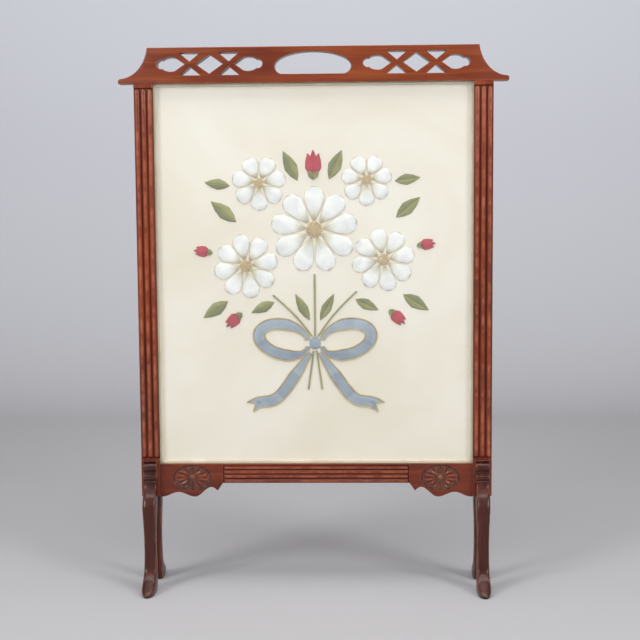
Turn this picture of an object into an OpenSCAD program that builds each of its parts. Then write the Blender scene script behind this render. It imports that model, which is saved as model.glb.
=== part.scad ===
// Fire screen: a mahogany frame on four slender legs, with a pierced cresting rail,
// reeded stiles, a carved bottom rail and a glazed panel of raised needlework on silk.
// Millimetres. The origin is on the floor under the middle. +X is right, +Z is up, and the
// front of the screen faces -Y.

/* [Overall] */
// Height of the whole screen above the floor
screen_h = 932; // [900:1:980]
// Width across the outer faces of the two stiles
frame_w = 608; // [590:1:650]
// Height of the stiles' lower ends above the floor
stile_foot_z = 162; // [150:1:172]
// Gap left round each glued tenon and dowel
glue_gap = 0.1; // [0.05:0.05:0.2]

/* [Crest rail] */
// Height of the crest rail
crest_h = 60; // [56:1:70]
// How far the crest rail stands in front of the stiles
crest_proud = 0.5; // [0:0.5:3]
// How far each swept tip reaches past the stile
crest_overhang = 26; // [15:1:35]
// How far the top corner lies inside the stile's outer face
crest_inset = 24; // [14:1:30]
// Height of the blunt end of each swept tip
tip_h = 5.5; // [4:0.5:8]
// Height of the swept curve's lowest point
sweep_foot = 8.5; // [7:0.5:12]

/* [Hand slot] */
// Width of the hand slot
slot_w = 129; // [110:1:135]
// Height of the slot's flat bottom edge above the crest rail's lower edge
slot_sill = 14.2; // [12:0.1:18]
// Height of the slot's arched top above the crest rail's lower edge
slot_top = 51.8; // [42:0.1:53]
// Radius of the slot's lower corners
slot_r = 13.5; // [6:0.5:16]

/* [Pierced work] */
// Distance from the top corner of the crest to the pierced work
fret_margin = 15.7; // [14:0.1:24]
// Wood left between the hand slot and the pierced work
slot_gap = 20.4; // [16:0.1:24]
// Height of the middle of the pierced work above the crest rail's lower edge
fret_z = 32; // [30:0.5:34]
// Height of the lattice
fret_h = 37.4; // [36:0.1:42]
// Distance between the two crossings of the straps in one group
cross_gap = 66.3; // [62:0.1:68]
// Width of the diamond opening
diamond_w = 46; // [38:0.5:48]
// Height of the diamond opening
diamond_h = 32; // [24:0.5:34]
// Width of each triangular opening
tri_w = 35; // [26:0.5:40]
// Height of each triangular opening
tri_h = 14.3; // [10:0.1:15]
// Distance from a crossing to the point of the leaf opening
leaf_gap = 8.9; // [7:0.1:11]
// Length of the leaf opening's rounded half
leaf_belly = 18; // [14:0.5:18.5]
// Half height of the leaf opening
leaf_half_h = 12.1; // [9:0.1:14]
// Radius of the small round lobe that ends the leaf opening
lobe_r = 7.6; // [7:0.1:8.5]

/* [Stiles] */
// Width of each stile seen from the front
stile_w = 32.5; // [30:0.5:38]
// Depth of each stile from front to back
stile_t = 28; // [27:0.5:34]
// Height of the stub tenon on each stile's head
stub_h = 12; // [8:0.5:12]
// Width of the stub tenon
stub_w = 16; // [12:0.5:20]
// Depth of the stub tenon from front to back
stub_t = 10; // [8:0.5:12]

/* [Reeding] */
// Number of reeds on each stile
stile_reeds = 3; // [2:1:4]
// Depth of the reeding on the stiles
stile_reed_depth = 3.2; // [2:0.1:3.6]
// Plain length left above and below the reeds
reed_stop = 7; // [4:0.5:12]
// Number of reeds on the bottom rail
rail_reeds = 4; // [3:1:5]
// Depth of the reeding on the bottom rail
rail_reed_depth = 2.2; // [1.4:0.1:2.6]
// Width of the flat quirk between two reeds
quirk = 0.5; // [0.3:0.1:1]
// Distance from each end of the bottom rail's reeds to the stile
reed_inset = 110; // [104:0.5:125]

/* [Bottom rail] */
// Height of the bottom rail's top edge above the stiles' lower ends
rail_top_rise = 56.5; // [54:0.5:62]
// Height of the bottom rail at its reeded middle
rail_h = 34.8; // [32:0.1:38]
// Plain margin above the reeds
rail_margin = 3.4; // [2:0.1:5]
// How far the bottom rail is set back from the stiles' faces
rail_setback = 3; // [1:0.5:4]
// How far the lower edge of the apron lies above the stiles' lower ends
apron_foot = -2; // [-4:0.5:2]
// Length of each tenon on the bottom rail
rail_tenon_l = 18; // [14:0.5:22]
// Height of each tenon on the bottom rail
rail_tenon_h = 34; // [28:1:38]
// Thickness of each tenon on the bottom rail
rail_tenon_t = 8; // [6:0.5:10]

/* [Carved ovals] */
// Distance from the middle of each oval to the stile
oval_margin = 55.9; // [50:0.1:58]
// Height of the middle of each oval above the stiles' lower ends
oval_rise = 31.5; // [29:0.5:33]
// Half length of each oval
oval_rx = 33.7; // [28:0.1:36]
// Half height of each oval
oval_rz = 22.6; // [18:0.1:24]
// Depth of the sunk ground of each oval
oval_sink = 3.4; // [2:0.1:5]
// Number of petals in each oval
petals = 12; // [8:1:16]
// Radius of the boss in the middle of each oval
boss_r = 4.6; // [3:0.1:6]

/* [Legs] */
// How far the tip of each toe stands out from the stile's face
toe_reach = 70.5; // [60:0.5:85]
// How far the knee stands out from the stile's face
knee_reach = 32; // [26:0.5:38]
// Depth of the shank from front to back
shank_d = 18; // [14:0.5:24]
// Gap between the shank's inner side and the plane of the stile's face
shank_gap = 8; // [5:0.5:12]
// Width of the shank
shank_w = 20.5; // [16:0.5:24]
// Width of the scroll block and the knee
block_w = 24; // [20:0.5:28]
// Width of the foot
foot_w = 23.4; // [20:0.5:28]
// Height of the scroll block's top above the stile's lower end
block_rise = 64; // [58:0.5:70]
// Diameter of the dowels that hold the legs
dowel_d = 7; // [6:0.5:8]
// Depth of each dowel's hole in the leg and in the stile
dowel_depth = 9; // [7:0.5:10]

/* [Panel] */
// Width of the rebate that holds the panel
rebate_w = 6; // [5:0.5:8]
// Thickness of the wood in front of the panel, measured from the stile's face
lip_t = 7; // [6.5:0.1:8]
// Gap round the edges of the panel's layers
panel_gap = 0.4; // [0.2:0.1:0.8]
// Thickness of the glass
glass_t = 2; // [1.6:0.1:2.4]
// Width of the slip that shows round the silk
slip_sight = 4.5; // [3:0.5:8]
// Depth of the slip
slip_t = 6; // [5:0.5:6.5]
// Thickness of the silk
silk_t = 0.4; // [0.3:0.1:0.6]
// Width of silk turned over the back of the strainer
silk_turn = 16; // [10:1:24]
// Width of the strainer's bars
strainer_w = 40; // [32:1:50]
// Thickness of the strainer's bars
strainer_t = 7; // [6:0.1:7.4]
// Thickness of the corner keys
key_t = 2; // [1.5:0.1:2.5]
// Length of each corner key along the bars
key_l = 26; // [18:1:30]
// Thickness of the back board
board_t = 2; // [1.5:0.1:2.4]
// Diameter of the tack heads
tack_d = 4; // [3:0.5:5]
// Thickness of the tack heads
tack_head_t = 0.6; // [0.4:0.1:0.8]
// Diameter of the tack shanks and the bead pins
pin_d = 1; // [0.8:0.1:1.2]
// Length of the tack shanks
tack_l = 5; // [3:0.5:6]
// Length of the bead pins
pin_l = 13; // [11:0.5:14]
// Tacks along each long side of the strainer
tacks_long = 10; // [6:1:14]
// Tacks along each short side of the strainer
tacks_short = 8; // [5:1:12]
// Pins along each side of the beads
pins_side = 4; // [3:1:6]

/* [Needlework] */
// Width of the worked design across its outer buds
work_w = 416; // [340:1:436]
// Height of the padded petals
petal_rise = 4; // [2.5:0.1:4.4]
// Height of the padded leaves
leaf_rise = 2.6; // [1.5:0.1:3.5]
// Width of the ribbon
ribbon_w = 22; // [16:1:22]
// Thickness of the worked ribbon
ribbon_t = 1.4; // [1:0.1:2]
// Width of the couched cord along the ribbon's edges
cord_w = 2; // [1.4:0.1:2.6]
// Thickness of the couched cord
cord_t = 2.2; // [1.6:0.1:3]

/* [Hidden] */

$fn = 48;
cut = 1;                                  // overrun of a cutting shape past a face
slack = 0.5;                              // extra depth at the bottom of a socket
bury = 0.4;                               // depth that a raised shape runs into its ground
mahogany = [0.48, 0.22, 0.14];
deal = [0.80, 0.68, 0.50];
silk = [0.93, 0.91, 0.85];
brass = [0.72, 0.60, 0.36];

half_w = frame_w / 2;
crest_z = screen_h - crest_h;             // underside of the crest rail
crest_half = half_w + crest_overhang;
crest_top_half = half_w - crest_inset;
crest_t = stile_t + crest_proud;
face_y = -stile_t / 2;                    // front faces of the stiles
back_y = stile_t / 2;
stile_x = half_w - stile_w / 2;           // middle of each stile
sight_half = half_w - stile_w;
rail_top = stile_foot_z + rail_top_rise;
rail_low = rail_top - rail_h;
rail_y = face_y + rail_setback;
apron_z = stile_foot_z + apron_foot;
sight_h = crest_z - rail_top;
mid_z = rail_top + sight_h / 2;           // middle of the panel
panel_w = 2 * (sight_half + rebate_w - panel_gap);
panel_h = sight_h + 2 * (rebate_w - panel_gap);
fret_half = (crest_top_half - fret_margin - slot_w / 2 - slot_gap) / 2;
fret_x = crest_top_half - fret_margin - fret_half;
rail_reed_l = 2 * (sight_half - reed_inset);

// The panel's layers, from front to back
glass_y = face_y + lip_t;
slip_y = glass_y + glass_t;
silk_y = slip_y + slip_t;
strainer_y = silk_y + silk_t;
turn_y = strainer_y + strainer_t;
tack_y = turn_y + silk_t;
board_y = tack_y + tack_head_t + 0.1;
bead_y = board_y + board_t;
bead_t = back_y - bead_y;
bead_w = rebate_w - panel_gap;

// Draws an outline that is given in x and z as a board from y0, t thick
module upright(y0, t) {
    translate([0, y0 + t, 0]) rotate([90, 0, 0]) linear_extrude(t) children();
}

// Part of an ellipse from angle a0 to a1, in n steps
function arc(cx, cz, rx, rz, a0, a1, n) =
    [for (i = [0:n]) let (a = a0 + (a1 - a0) * i / n) [cx + rx * cos(a), cz + rz * sin(a)]];

// A whole ellipse with n corners
function ellipse(rx, rz, n) = [for (i = [0:n - 1]) [rx * cos(360 * i / n), rz * sin(360 * i / n)]];

// Smooth step between two levels, t from 0 to 1
function swell(a, b, t) = a + (b - a) * (1 - cos(180 * t)) / 2;

module both_sides() {
    children();
    mirror([1, 0, 0]) children();
}

/* Crest rail */

sweep_top = crest_h + 9;                  // level of the swept curve's centre
sweep_x = crest_half - 2;                 // the curve is lowest just inside the tip
sweep_rx = sweep_x - crest_top_half + 0.5;
sweep_start = 180 + asin((sweep_top - crest_h) / (sweep_top - sweep_foot));
tip_ease = 1;                             // small chamfer at the tip's lower corner

function crest_end() = concat(
    arc(sweep_x, sweep_top, sweep_rx, sweep_top - sweep_foot, sweep_start, 268, 14),
    [[crest_half - 0.6, tip_h + 1.5], [crest_half, tip_h], [crest_half, tip_ease], [crest_half - tip_ease, 0]]
);
function mirrored(p) = [for (i = [len(p) - 1:-1:0]) [-p[i][0], p[i][1]]];

module slot_outline() {
    half = slot_w / 2;
    spring = slot_sill + slot_r;
    turn = 15;                            // degrees between the points of a corner
    polygon(concat(
        arc(0, spring, half, slot_top - spring, 0, 180, 32),
        arc(-half + slot_r, spring, slot_r, slot_r, 180 + turn, 270, 5),
        arc(half - slot_r, spring, slot_r, slot_r, 270, 360 - turn, 5)
    ));
}

module leaf_outline() {
    merge = 1.4;                          // how far the lobe's middle lies inside the leaf
    belly_x = fret_half - lobe_r - leaf_belly + merge;
    point_x = cross_gap / 2 + leaf_gap;
    polygon(concat(
        [[point_x, 0]],
        arc(belly_x, 0, leaf_belly, leaf_half_h, -115, 115, 24)
    ));
    translate([fret_half - lobe_r, 0]) circle(lobe_r);
}

module fret_openings() {
    polygon([[diamond_w / 2, 0], [0, diamond_h / 2], [-diamond_w / 2, 0], [0, -diamond_h / 2]]);
    for (side = [-1, 1]) {
        mirror([side < 0 ? 1 : 0, 0]) leaf_outline();
        for (up = [-1, 1]) {
            translate([side * cross_gap / 2, up * fret_h / 2])
                polygon([[-tri_w / 2, 0], [tri_w / 2, 0], [0, -up * tri_h]]);
        }
    }
}

module crest_rail() color(mahogany) difference() {
    upright(face_y - crest_proud, crest_t) translate([0, crest_z]) difference() {
        polygon(concat(crest_end(), mirrored(crest_end())));
        slot_outline();
        for (side = [-1, 1]) translate([side * fret_x, fret_z]) fret_openings();
    }
    translate([-panel_w / 2 - panel_gap, glass_y, crest_z - cut])
        cube([panel_w + 2 * panel_gap, stile_t, rebate_w + cut]);
    both_sides() translate([stile_x - stub_w / 2 - glue_gap, -stub_t / 2 - glue_gap, crest_z - cut])
        cube([stub_w + 2 * glue_gap, stub_t + 2 * glue_gap, stub_h + glue_gap + cut]);
    bead_pin_holes();
}

/* Stiles */

stile_reed_z0 = stile_foot_z + block_rise + 2;
stile_reed_z1 = crest_z - reed_stop;
function reed_r(chord, depth) = chord * chord / (8 * depth) + depth / 2;

// One reed with rounded ends, standing along z from z0 to z1, its crest at y = 0
module reed(chord, depth, z0, z1) {
    r = reed_r(chord, depth);
    end = chord / 2 + quirk;
    intersection() {
        translate([0, r, z0 - cut]) cylinder(r = r, h = z1 - z0 + 2 * cut);
        upright(-cut, depth + bury + cut) {
            for (z = [z0 + end, z1 - end]) translate([0, z]) circle(chord / 2 + quirk / 10);
            translate([-chord / 2 - quirk / 10, z0 + end]) square([chord + quirk / 5, z1 - z0 - 2 * end]);
        }
    }
}

module stile() difference() {
    union() {
        difference() {
            translate([sight_half, face_y, stile_foot_z])
                cube([stile_w, stile_t, crest_z - stile_foot_z]);
            translate([sight_half - cut, face_y - cut, stile_reed_z0])
                cube([stile_w + 2 * cut, stile_reed_depth + cut, stile_reed_z1 - stile_reed_z0]);
        }
        pitch = stile_w / stile_reeds;
        for (i = [0:stile_reeds - 1]) translate([sight_half + pitch * (i + 0.5), face_y, 0])
            reed(pitch - quirk, stile_reed_depth, stile_reed_z0, stile_reed_z1);
        translate([stile_x - stub_w / 2, -stub_t / 2, crest_z - cut])
            cube([stub_w, stub_t, stub_h + cut]);
    }
    translate([sight_half - cut, glass_y, rail_top - rebate_w])
        cube([rebate_w + cut, stile_t, sight_h + rebate_w + cut]);
    rail_mortise();
    dowel_holes();
    bead_pin_holes();
}

module left_stile() color(mahogany) mirror([1, 0, 0]) stile();
module right_stile() color(mahogany) stile();

/* Bottom rail */

tenon_drop = 14;                          // how far the tenon reaches below the reeded middle
tenon_z = rail_low - tenon_drop;
module rail_mortise() {
    translate([sight_half - cut, -rail_tenon_t / 2 - glue_gap, tenon_z - glue_gap])
        cube([rail_tenon_l + slack + cut, rail_tenon_t + 2 * glue_gap, rail_tenon_h + 2 * glue_gap]);
}

// Half of the rail's lower edge, from the reeded middle out to the stile. The levels are
// heights above the apron's foot, and the distances are measured back from the stile.
tooth_x = rail_reed_l / 2 + 10.2;         // point of the small tooth
tooth_z = 10.5;
crook_x = tooth_x + 10.4;                 // crown of the hollow beside the tooth
crook_z = 17;
lobe_x = sight_half - oval_margin - 4.1;  // lowest point under the oval
ogee_x = lobe_x + 28.7;                   // crown of the outer hollow
ogee_z = 8.2;
heel_x = sight_half - 3;                  // where the edge runs level into the stile
function edge_run(x0, x1, z0, z1) = [for (i = [1:8]) let (t = i / 8) [x0 + (x1 - x0) * t, swell(z0, z1, t)]];
function lower_edge() = concat(
    [[rail_reed_l / 2 + 1, rail_low - apron_z]],
    [for (i = [0:8]) [tooth_x + (crook_x - tooth_x) * i / 8, tooth_z + (crook_z - tooth_z) * sin(90 * i / 8)]],
    edge_run(crook_x, lobe_x, crook_z, 0),
    edge_run(lobe_x, ogee_x, 0, ogee_z),
    edge_run(ogee_x, heel_x, ogee_z, 0),
    [[sight_half, 0]]
);

module rail_outline() {
    edge = lower_edge();
    top = rail_top - apron_z;
    translate([0, apron_z]) polygon(concat(edge, [[sight_half, top], [-sight_half, top]], mirrored(edge)));
}

// Petals of the carved oval, each a pointed leaf on a line from the boss to the rim
module carved_oval() {
    upright(rail_y + bury, oval_sink) circle(boss_r);
    for (i = [0:petals - 1]) {
        a = 360 * i / petals;
        tip = [(oval_rx - 2.4) * cos(a), (oval_rz - 2.3) * sin(a)];
        reach = norm(tip);
        half = 2.1 + 0.8 * abs(cos(a));
        root = boss_r + 1.2;
        upright(rail_y + 2 * bury, oval_sink) rotate(atan2(tip[1], tip[0]))
            polygon([[root, 0], [reach * 0.45, -half * 0.65], [reach * 0.68, -half],
                [reach, 0], [reach * 0.68, half], [reach * 0.45, half * 0.65]]);
    }
}

module bottom_rail() color(mahogany) difference() {
    reed_pitch = (rail_h - rail_margin) / rail_reeds;
    oval_x = sight_half - oval_margin;
    oval_z = stile_foot_z + oval_rise;
    union() {
        difference() {
            upright(rail_y, back_y - rail_y) rail_outline();
            translate([-rail_reed_l / 2, rail_y - cut, rail_low - cut])
                cube([rail_reed_l, rail_reed_depth + cut, rail_h - rail_margin + cut]);
            both_sides() translate([oval_x, 0, oval_z]) upright(rail_y - cut, oval_sink + cut)
                polygon(ellipse(oval_rx, oval_rz, 48));
        }
        for (i = [0:rail_reeds - 1])
            translate([0, rail_y, rail_low + reed_pitch * (i + 0.5)]) rotate([0, 90, 0])
                reed(reed_pitch - quirk, rail_reed_depth, -rail_reed_l / 2, rail_reed_l / 2);
        both_sides() translate([oval_x, 0, oval_z]) carved_oval();
        both_sides() translate([sight_half - cut, -rail_tenon_t / 2, tenon_z])
            cube([rail_tenon_l + cut, rail_tenon_t, rail_tenon_h]);
    }
    translate([-sight_half - cut, glass_y, rail_top - rebate_w])
        cube([2 * (sight_half + cut), stile_t, rebate_w + cut]);
    bead_pin_holes();
}

/* Legs */

// Each station of a leg is its outer point [out, z], its inner point [out, z] and its half
// width. "Out" is measured from the stile's face, and z from the floor.
knee_z = stile_foot_z - 19;
shank_out = shank_gap + shank_d;
scroll_h = 38.5;                          // height of the scrolls at the head of a leg
block_low = stile_foot_z + block_rise - scroll_h;
STATIONS = [
    [[10.5, block_low], [0, block_low], block_w / 2 - 1.2],
    [[12.5, stile_foot_z + 18], [0, stile_foot_z + 18], block_w / 2 - 0.8],
    [[18.5, stile_foot_z + 9], [0, stile_foot_z + 9], block_w / 2 - 0.2],
    [[25.5, stile_foot_z], [0, stile_foot_z], block_w / 2],
    [[knee_reach - 1.5, knee_z + 9], [1.8, knee_z + 7], block_w / 2],
    [[knee_reach, knee_z], [4.5, knee_z - 4], block_w / 2 - 0.1],
    [[knee_reach - 1.4, knee_z - 14], [7, knee_z - 17], block_w / 2 - 0.7],
    [[shank_out + 2, 108], [shank_gap, 106], shank_w / 2 + 0.3],
    [[shank_out + 0.3, 86], [shank_gap, 85], shank_w / 2],
    [[shank_out, 64], [shank_gap, 63], shank_w / 2],
    [[shank_out + 1.5, 46], [shank_gap, 43], shank_w / 2 + 0.4],
    [[shank_out + 5, 35], [shank_gap, 27], foot_w / 2 - 0.8],
    [[toe_reach - 32, 26.5], [shank_gap + 1.5, 12], foot_w / 2 - 0.3],
    [[toe_reach - 22, 19.5], [shank_gap + 8, 1], foot_w / 2],
    [[toe_reach - 13, 13.5], [toe_reach - 38, -1.5], foot_w / 2 - 0.4],
    [[toe_reach - 6, 9], [toe_reach - 22, -2.5], foot_w / 2 - 2.2],
    [[toe_reach - 1.5, 5.5], [toe_reach - 11, -2.5], foot_w / 2 - 5.5],
    [[toe_reach, 2.5], [toe_reach - 4, -2], 2.4]
];

// A smooth curve through the stations, u counted in stations
function blend4(a, b, c, d, t) =
    0.5 * (2 * b + (c - a) * t + (2 * a - 5 * b + 4 * c - d) * t * t + (3 * b - a - 3 * c + d) * t * t * t);
function pick(i) = STATIONS[max(0, min(len(STATIONS) - 1, i))];
function station(u) =
    let (i = floor(u), t = u - i, a = pick(i - 1), b = pick(i), c = pick(i + 1), d = pick(i + 2))
    [blend4(a[0], b[0], c[0], d[0], t), blend4(a[1], b[1], c[1], d[1], t), blend4(a[2], b[2], c[2], d[2], t)];

leg_sides = 16;
leg_steps = 2;                            // rings between two stations
corner = 0.42;                            // roundness of the leg's section, 1 is an ellipse
function rounded(v) = sign(v) * pow(abs(v), corner);
function leg_ring(s) = [for (k = [0:leg_sides - 1])
    let (a = 360 * (k + 0.5) / leg_sides, mid = (s[0] + s[1]) / 2, arm = (s[0] - s[1]) / 2)
    let (out = mid + arm * rounded(sin(a)))
    [s[2] * rounded(cos(a)), -out[0], out[1]]];

module leg_loft() {
    rings = (len(STATIONS) - 1) * leg_steps + 1;
    points = [for (i = [0:rings - 1]) each leg_ring(station(i / leg_steps))];
    walls = [for (i = [0:rings - 2]) for (k = [0:leg_sides - 1])
        let (a = i * leg_sides + k, b = i * leg_sides + (k + 1) % leg_sides)
        each [[a, a + leg_sides, b], [b, a + leg_sides, b + leg_sides]]];
    caps = [[for (k = [0:leg_sides - 1]) k],
        [for (k = [leg_sides - 1:-1:0]) (rings - 1) * leg_sides + k]];
    polyhedron(points, concat(walls, caps));
}

// The carved scrolls at the head of the leg, drawn in section and run across its width.
// Fillets: how far each stands out, how far its foot lies below the top, and its height.
FILLETS = [
    [8, 2.2, 2.2], [6, scroll_h, scroll_h - 1], [11.5, 32.4, 2.6], [8.5, 35.5, 3.5], [11.5, scroll_h, 3]
];
// Scrolls: how far out and how far below the top each middle lies, and its radius
SCROLLS = [[6, 11.8, 7.2], [6.5, 24.3, 4.8]];
module scroll_block() {
    top = block_rise + stile_foot_z;
    translate([-block_w / 2, 0, 0]) rotate([90, 0, 90]) linear_extrude(block_w) {
        for (f = FILLETS) translate([-f[0], top - f[1]]) square([f[0], f[2]]);
        for (s = SCROLLS) translate([-s[0], top - s[1]]) circle(s[2]);
    }
}

module leg(side, facing) color(mahogany) mirror([0, facing < 0 ? 1 : 0, 0]) difference() {
    translate([side * stile_x, face_y, 0]) difference() {
        union() {
            leg_loft();
            scroll_block();
        }
        translate([-foot_w, -toe_reach - cut, -10]) cube([2 * foot_w, toe_reach + 2 * cut, 10]);
    }
    dowel_holes();
}

module front_leg_left() leg(-1, 1);
module front_leg_right() leg(1, 1);
module back_leg_left() leg(-1, -1);
module back_leg_right() leg(1, -1);

// Two dowels hold each leg to its stile
dowel_rises = [block_rise - 13, 9];
module dowels(r, depth) for (side = [-1, 1], facing = [-1, 1], rise = dowel_rises)
    translate([side * stile_x, facing * back_y - depth, stile_foot_z + rise])
        rotate([-90, 0, 0]) cylinder(r = r, h = 2 * depth);
module dowel_holes() dowels((dowel_d + glue_gap) / 2, dowel_depth + slack);
module leg_dowels() color(deal) dowels(dowel_d / 2, dowel_depth);

/* Panel */

// One bar of a mitred frame whose outer size is w by h. side 0 is the top, and the others
// follow round.
module mitred_bar(w, h, bar, y0, t, side) {
    turned = side % 2 == 1;
    long = (turned ? h : w) / 2;
    high = (turned ? w : h) / 2;
    translate([0, 0, mid_z]) rotate([0, side * 90, 0]) upright(y0, t)
        polygon([[-long, high], [long, high], [long - bar, high - bar], [-long + bar, high - bar]]);
}

module glass_pane() color([0.85, 0.92, 0.92, 0.3])
    translate([-panel_w / 2, glass_y, mid_z - panel_h / 2]) cube([panel_w, glass_t, panel_h]);

module slip(side) color([0.82, 0.76, 0.62])
    mitred_bar(panel_w, panel_h, rebate_w - panel_gap + slip_sight, slip_y, slip_t, side);
module slip_top() slip(0);
module slip_right() slip(1);
module slip_bottom() slip(2);
module slip_left() slip(3);

strainer_half_w = panel_w / 2 - silk_t;
strainer_half_h = panel_h / 2 - silk_t;
module silk_ground() color(silk) difference() {
    translate([-panel_w / 2, silk_y, mid_z - panel_h / 2])
        cube([panel_w, tack_y - silk_y, panel_h]);
    translate([-strainer_half_w, strainer_y, mid_z - strainer_half_h])
        cube([2 * strainer_half_w, strainer_t, 2 * strainer_half_h]);
    translate([-strainer_half_w + silk_turn, strainer_y, mid_z - strainer_half_h + silk_turn])
        cube([2 * (strainer_half_w - silk_turn), stile_t, 2 * (strainer_half_h - silk_turn)]);
    tack_shanks(cut);
}

key_y = strainer_y + strainer_t / 2 - key_t / 2;
module strainer(side) color(deal) difference() {
    mitred_bar(2 * strainer_half_w, 2 * strainer_half_h, strainer_w, strainer_y, strainer_t, side);
    corner_keys(key_y, key_t);
    tack_shanks(cut);
}
module strainer_top() strainer(0);
module strainer_right() strainer(1);
module strainer_bottom() strainer(2);
module strainer_left() strainer(3);

// A flat wedge lies in a slot across each mitre
module corner_keys(y0, t) for (sx = [-1, 1], sz = [-1, 1])
    translate([sx * (strainer_half_w - strainer_w), 0, mid_z + sz * (strainer_half_h - strainer_w)])
        mirror([sx > 0 ? 1 : 0, 0, 0]) mirror([0, 0, sz < 0 ? 1 : 0]) upright(y0, t)
            polygon([[key_l, 0], [0, -key_l], [-key_l * 0.55, 0], [0, key_l * 0.55]]);
module strainer_keys() color(deal) corner_keys(key_y, key_t);

tack_in = silk_turn * 0.6;                // distance of the tacks from the strainer's edge
tack_end = 38;                            // distance of the last tack from a corner
function spread(half, count) = [for (i = [0:count - 1]) half * (2 * i / (count - 1) - 1)];
function tack_places() = [
    for (x = spread(strainer_half_w - tack_end, tacks_short), s = [-1, 1])
        [x, s * (strainer_half_h - tack_in)],
    for (z = spread(strainer_half_h - tack_end, tacks_long), s = [-1, 1])
        [s * (strainer_half_w - tack_in), z]
];
module tack_shanks(over) for (p = tack_places()) translate([p[0], tack_y + over, mid_z + p[1]])
    rotate([90, 0, 0]) cylinder(d = pin_d, h = tack_l + over, $fn = 16);
module silk_tacks() color([0.35, 0.34, 0.33]) {
    tack_shanks(0);
    for (p = tack_places()) translate([p[0], tack_y + tack_head_t, mid_z + p[1]])
        rotate([90, 0, 0]) cylinder(d = tack_d, h = tack_head_t, $fn = 20);
}

module back_board() color([0.42, 0.26, 0.17])
    translate([-panel_w / 2, board_y, mid_z - panel_h / 2]) cube([panel_w, board_t, panel_h]);

module back_bead(side) color(mahogany) difference() {
    mitred_bar(panel_w, panel_h, bead_w, bead_y, bead_t, side);
    bead_pin_holes();
}
module back_bead_top() back_bead(0);
module back_bead_right() back_bead(1);
module back_bead_bottom() back_bead(2);
module back_bead_left() back_bead(3);

// Pins driven outwards through the beads into the frame
pin_y = bead_y + bead_t / 2;
pin_end = 40;                             // distance of the last pin from a corner
module pin_run(out, along, over) for (x = spread(along - pin_end, pins_side))
    translate([x, pin_y, out - bead_w - over]) cylinder(d = pin_d, h = pin_l + over, $fn = 16);
module all_pins(over) translate([0, 0, mid_z]) for (side = [0:3]) rotate([0, side * 90, 0]) {
    turned = side % 2 == 1;
    pin_run((turned ? panel_w : panel_h) / 2, (turned ? panel_h : panel_w) / 2, over);
}
module bead_pin_holes() all_pins(cut);
module bead_pins() color(brass) all_pins(0);

/* Needlework */

unit = work_w / 416;                      // the design is drawn 416 units wide

// A padded shape: an outline that rises to a crown along its spine. The outline starts at its
// root on the left, and the spine runs through the middle of it.
module pad(outline, crown, rise) {
    n = len(outline);
    base = [for (p = outline) [p[0], 0, p[1]]];
    ring = [for (p = outline) let (q = crown + (p - crown) * 0.62) [q[0], -rise * 0.82, q[1]]];
    faces = concat(
        [[for (i = [0:n - 1]) i]],
        [for (i = [0:n - 1]) let (j = (i + 1) % n) each [[i, n + i, j], [j, n + i, n + j]]],
        [for (i = [0:n - 1]) [n + i, 2 * n, n + (i + 1) % n]]
    );
    polyhedron(concat(base, ring, [[crown[0], -rise, crown[1]]]), faces);
}

// A petal from radius r0 to r1, w wide at its broadest
module petal(r0, r1, w) {
    l = r1 - r0;
    pad([[r0, 0], [r0 + l * 0.12, -w * 0.15], [r0 + l * 0.4, -w * 0.36], [r0 + l * 0.7, -w * 0.5],
        [r0 + l * 0.92, -w * 0.33], [r1, -w * 0.06], [r1, w * 0.06], [r0 + l * 0.92, w * 0.33],
        [r0 + l * 0.7, w * 0.5], [r0 + l * 0.4, w * 0.36], [r0 + l * 0.12, w * 0.15]],
        [r0 + l * 0.62, 0], petal_rise);
}

// Flowers: place across and up, outer radius, centre radius, number of petals
FLOWERS = [
    [0, 78, 74, 15, 9],
    [-118, 16, 55, 11, 8],
    [118, 26, 54, 11, 8],
    [-94, 158, 46, 9, 7],
    [90, 162, 43, 9, 7]
];
// Leaves: place of the root across and up, direction, length, width
LEAVES = [
    [-28, 162, 116, 56, 24], [26, 164, 66, 54, 24], [-134, 92, 140, 56, 25], [140, 98, 40, 54, 24],
    [-150, -44, 214, 52, 24], [152, -34, 328, 52, 24], [-70, -46, 205, 44, 20], [70, -42, 335, 44, 20],
    [-9, -78, 118, 52, 18], [9, -78, 62, 52, 18], [-144, 154, 172, 44, 20], [138, 160, 8, 44, 20]
];
// Buds: place of the root across and up, direction, length, width
BUDS = [
    [-1, 166, 90, 48, 30], [-178, 40, 172, 30, 22], [178, 50, 8, 30, 22],
    [-128, -66, 222, 34, 24], [130, -62, 318, 34, 24]
];

petal_gap = 1;                            // gap between a flower's centre and its petals
module at_work(f) translate([f[0] * unit, silk_y, mid_z + f[1] * unit]) children();

module flower_petals() color([0.95, 0.95, 0.93]) for (f = FLOWERS) at_work(f)
    for (i = [0:f[4] - 1]) rotate([0, -360 * (i + 0.25) / f[4], 0]) {
        r1 = f[2] * unit;
        r0 = f[3] * unit + petal_gap;
        petal(r0, r1, 2 * (r0 + (r1 - r0) * 0.68) * tan(180 / f[4]) * 0.9);
    }

module flower_centres() color([0.85, 0.75, 0.45]) for (f = FLOWERS) at_work(f)
    pad(ellipse(f[3] * unit, f[3] * unit, 12), [0, 0], petal_rise);

module leaf_pad(l, w, rise) pad([[0, 0], [l * 0.2, -w * 0.32], [l * 0.45, -w * 0.5], [l * 0.72, -w * 0.34],
    [l, 0], [l * 0.72, w * 0.34], [l * 0.45, w * 0.5], [l * 0.2, w * 0.32]], [l * 0.48, 0], rise);

module worked_leaves() color([0.56, 0.56, 0.34]) for (f = LEAVES) at_work(f)
    rotate([0, -f[2], 0]) leaf_pad(f[3] * unit, f[4] * unit, leaf_rise);

module rose_buds() color([0.70, 0.16, 0.24]) for (f = BUDS) at_work(f)
    rotate([0, -f[2], 0]) leaf_pad(f[3] * unit, f[4] * unit, petal_rise);

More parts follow.
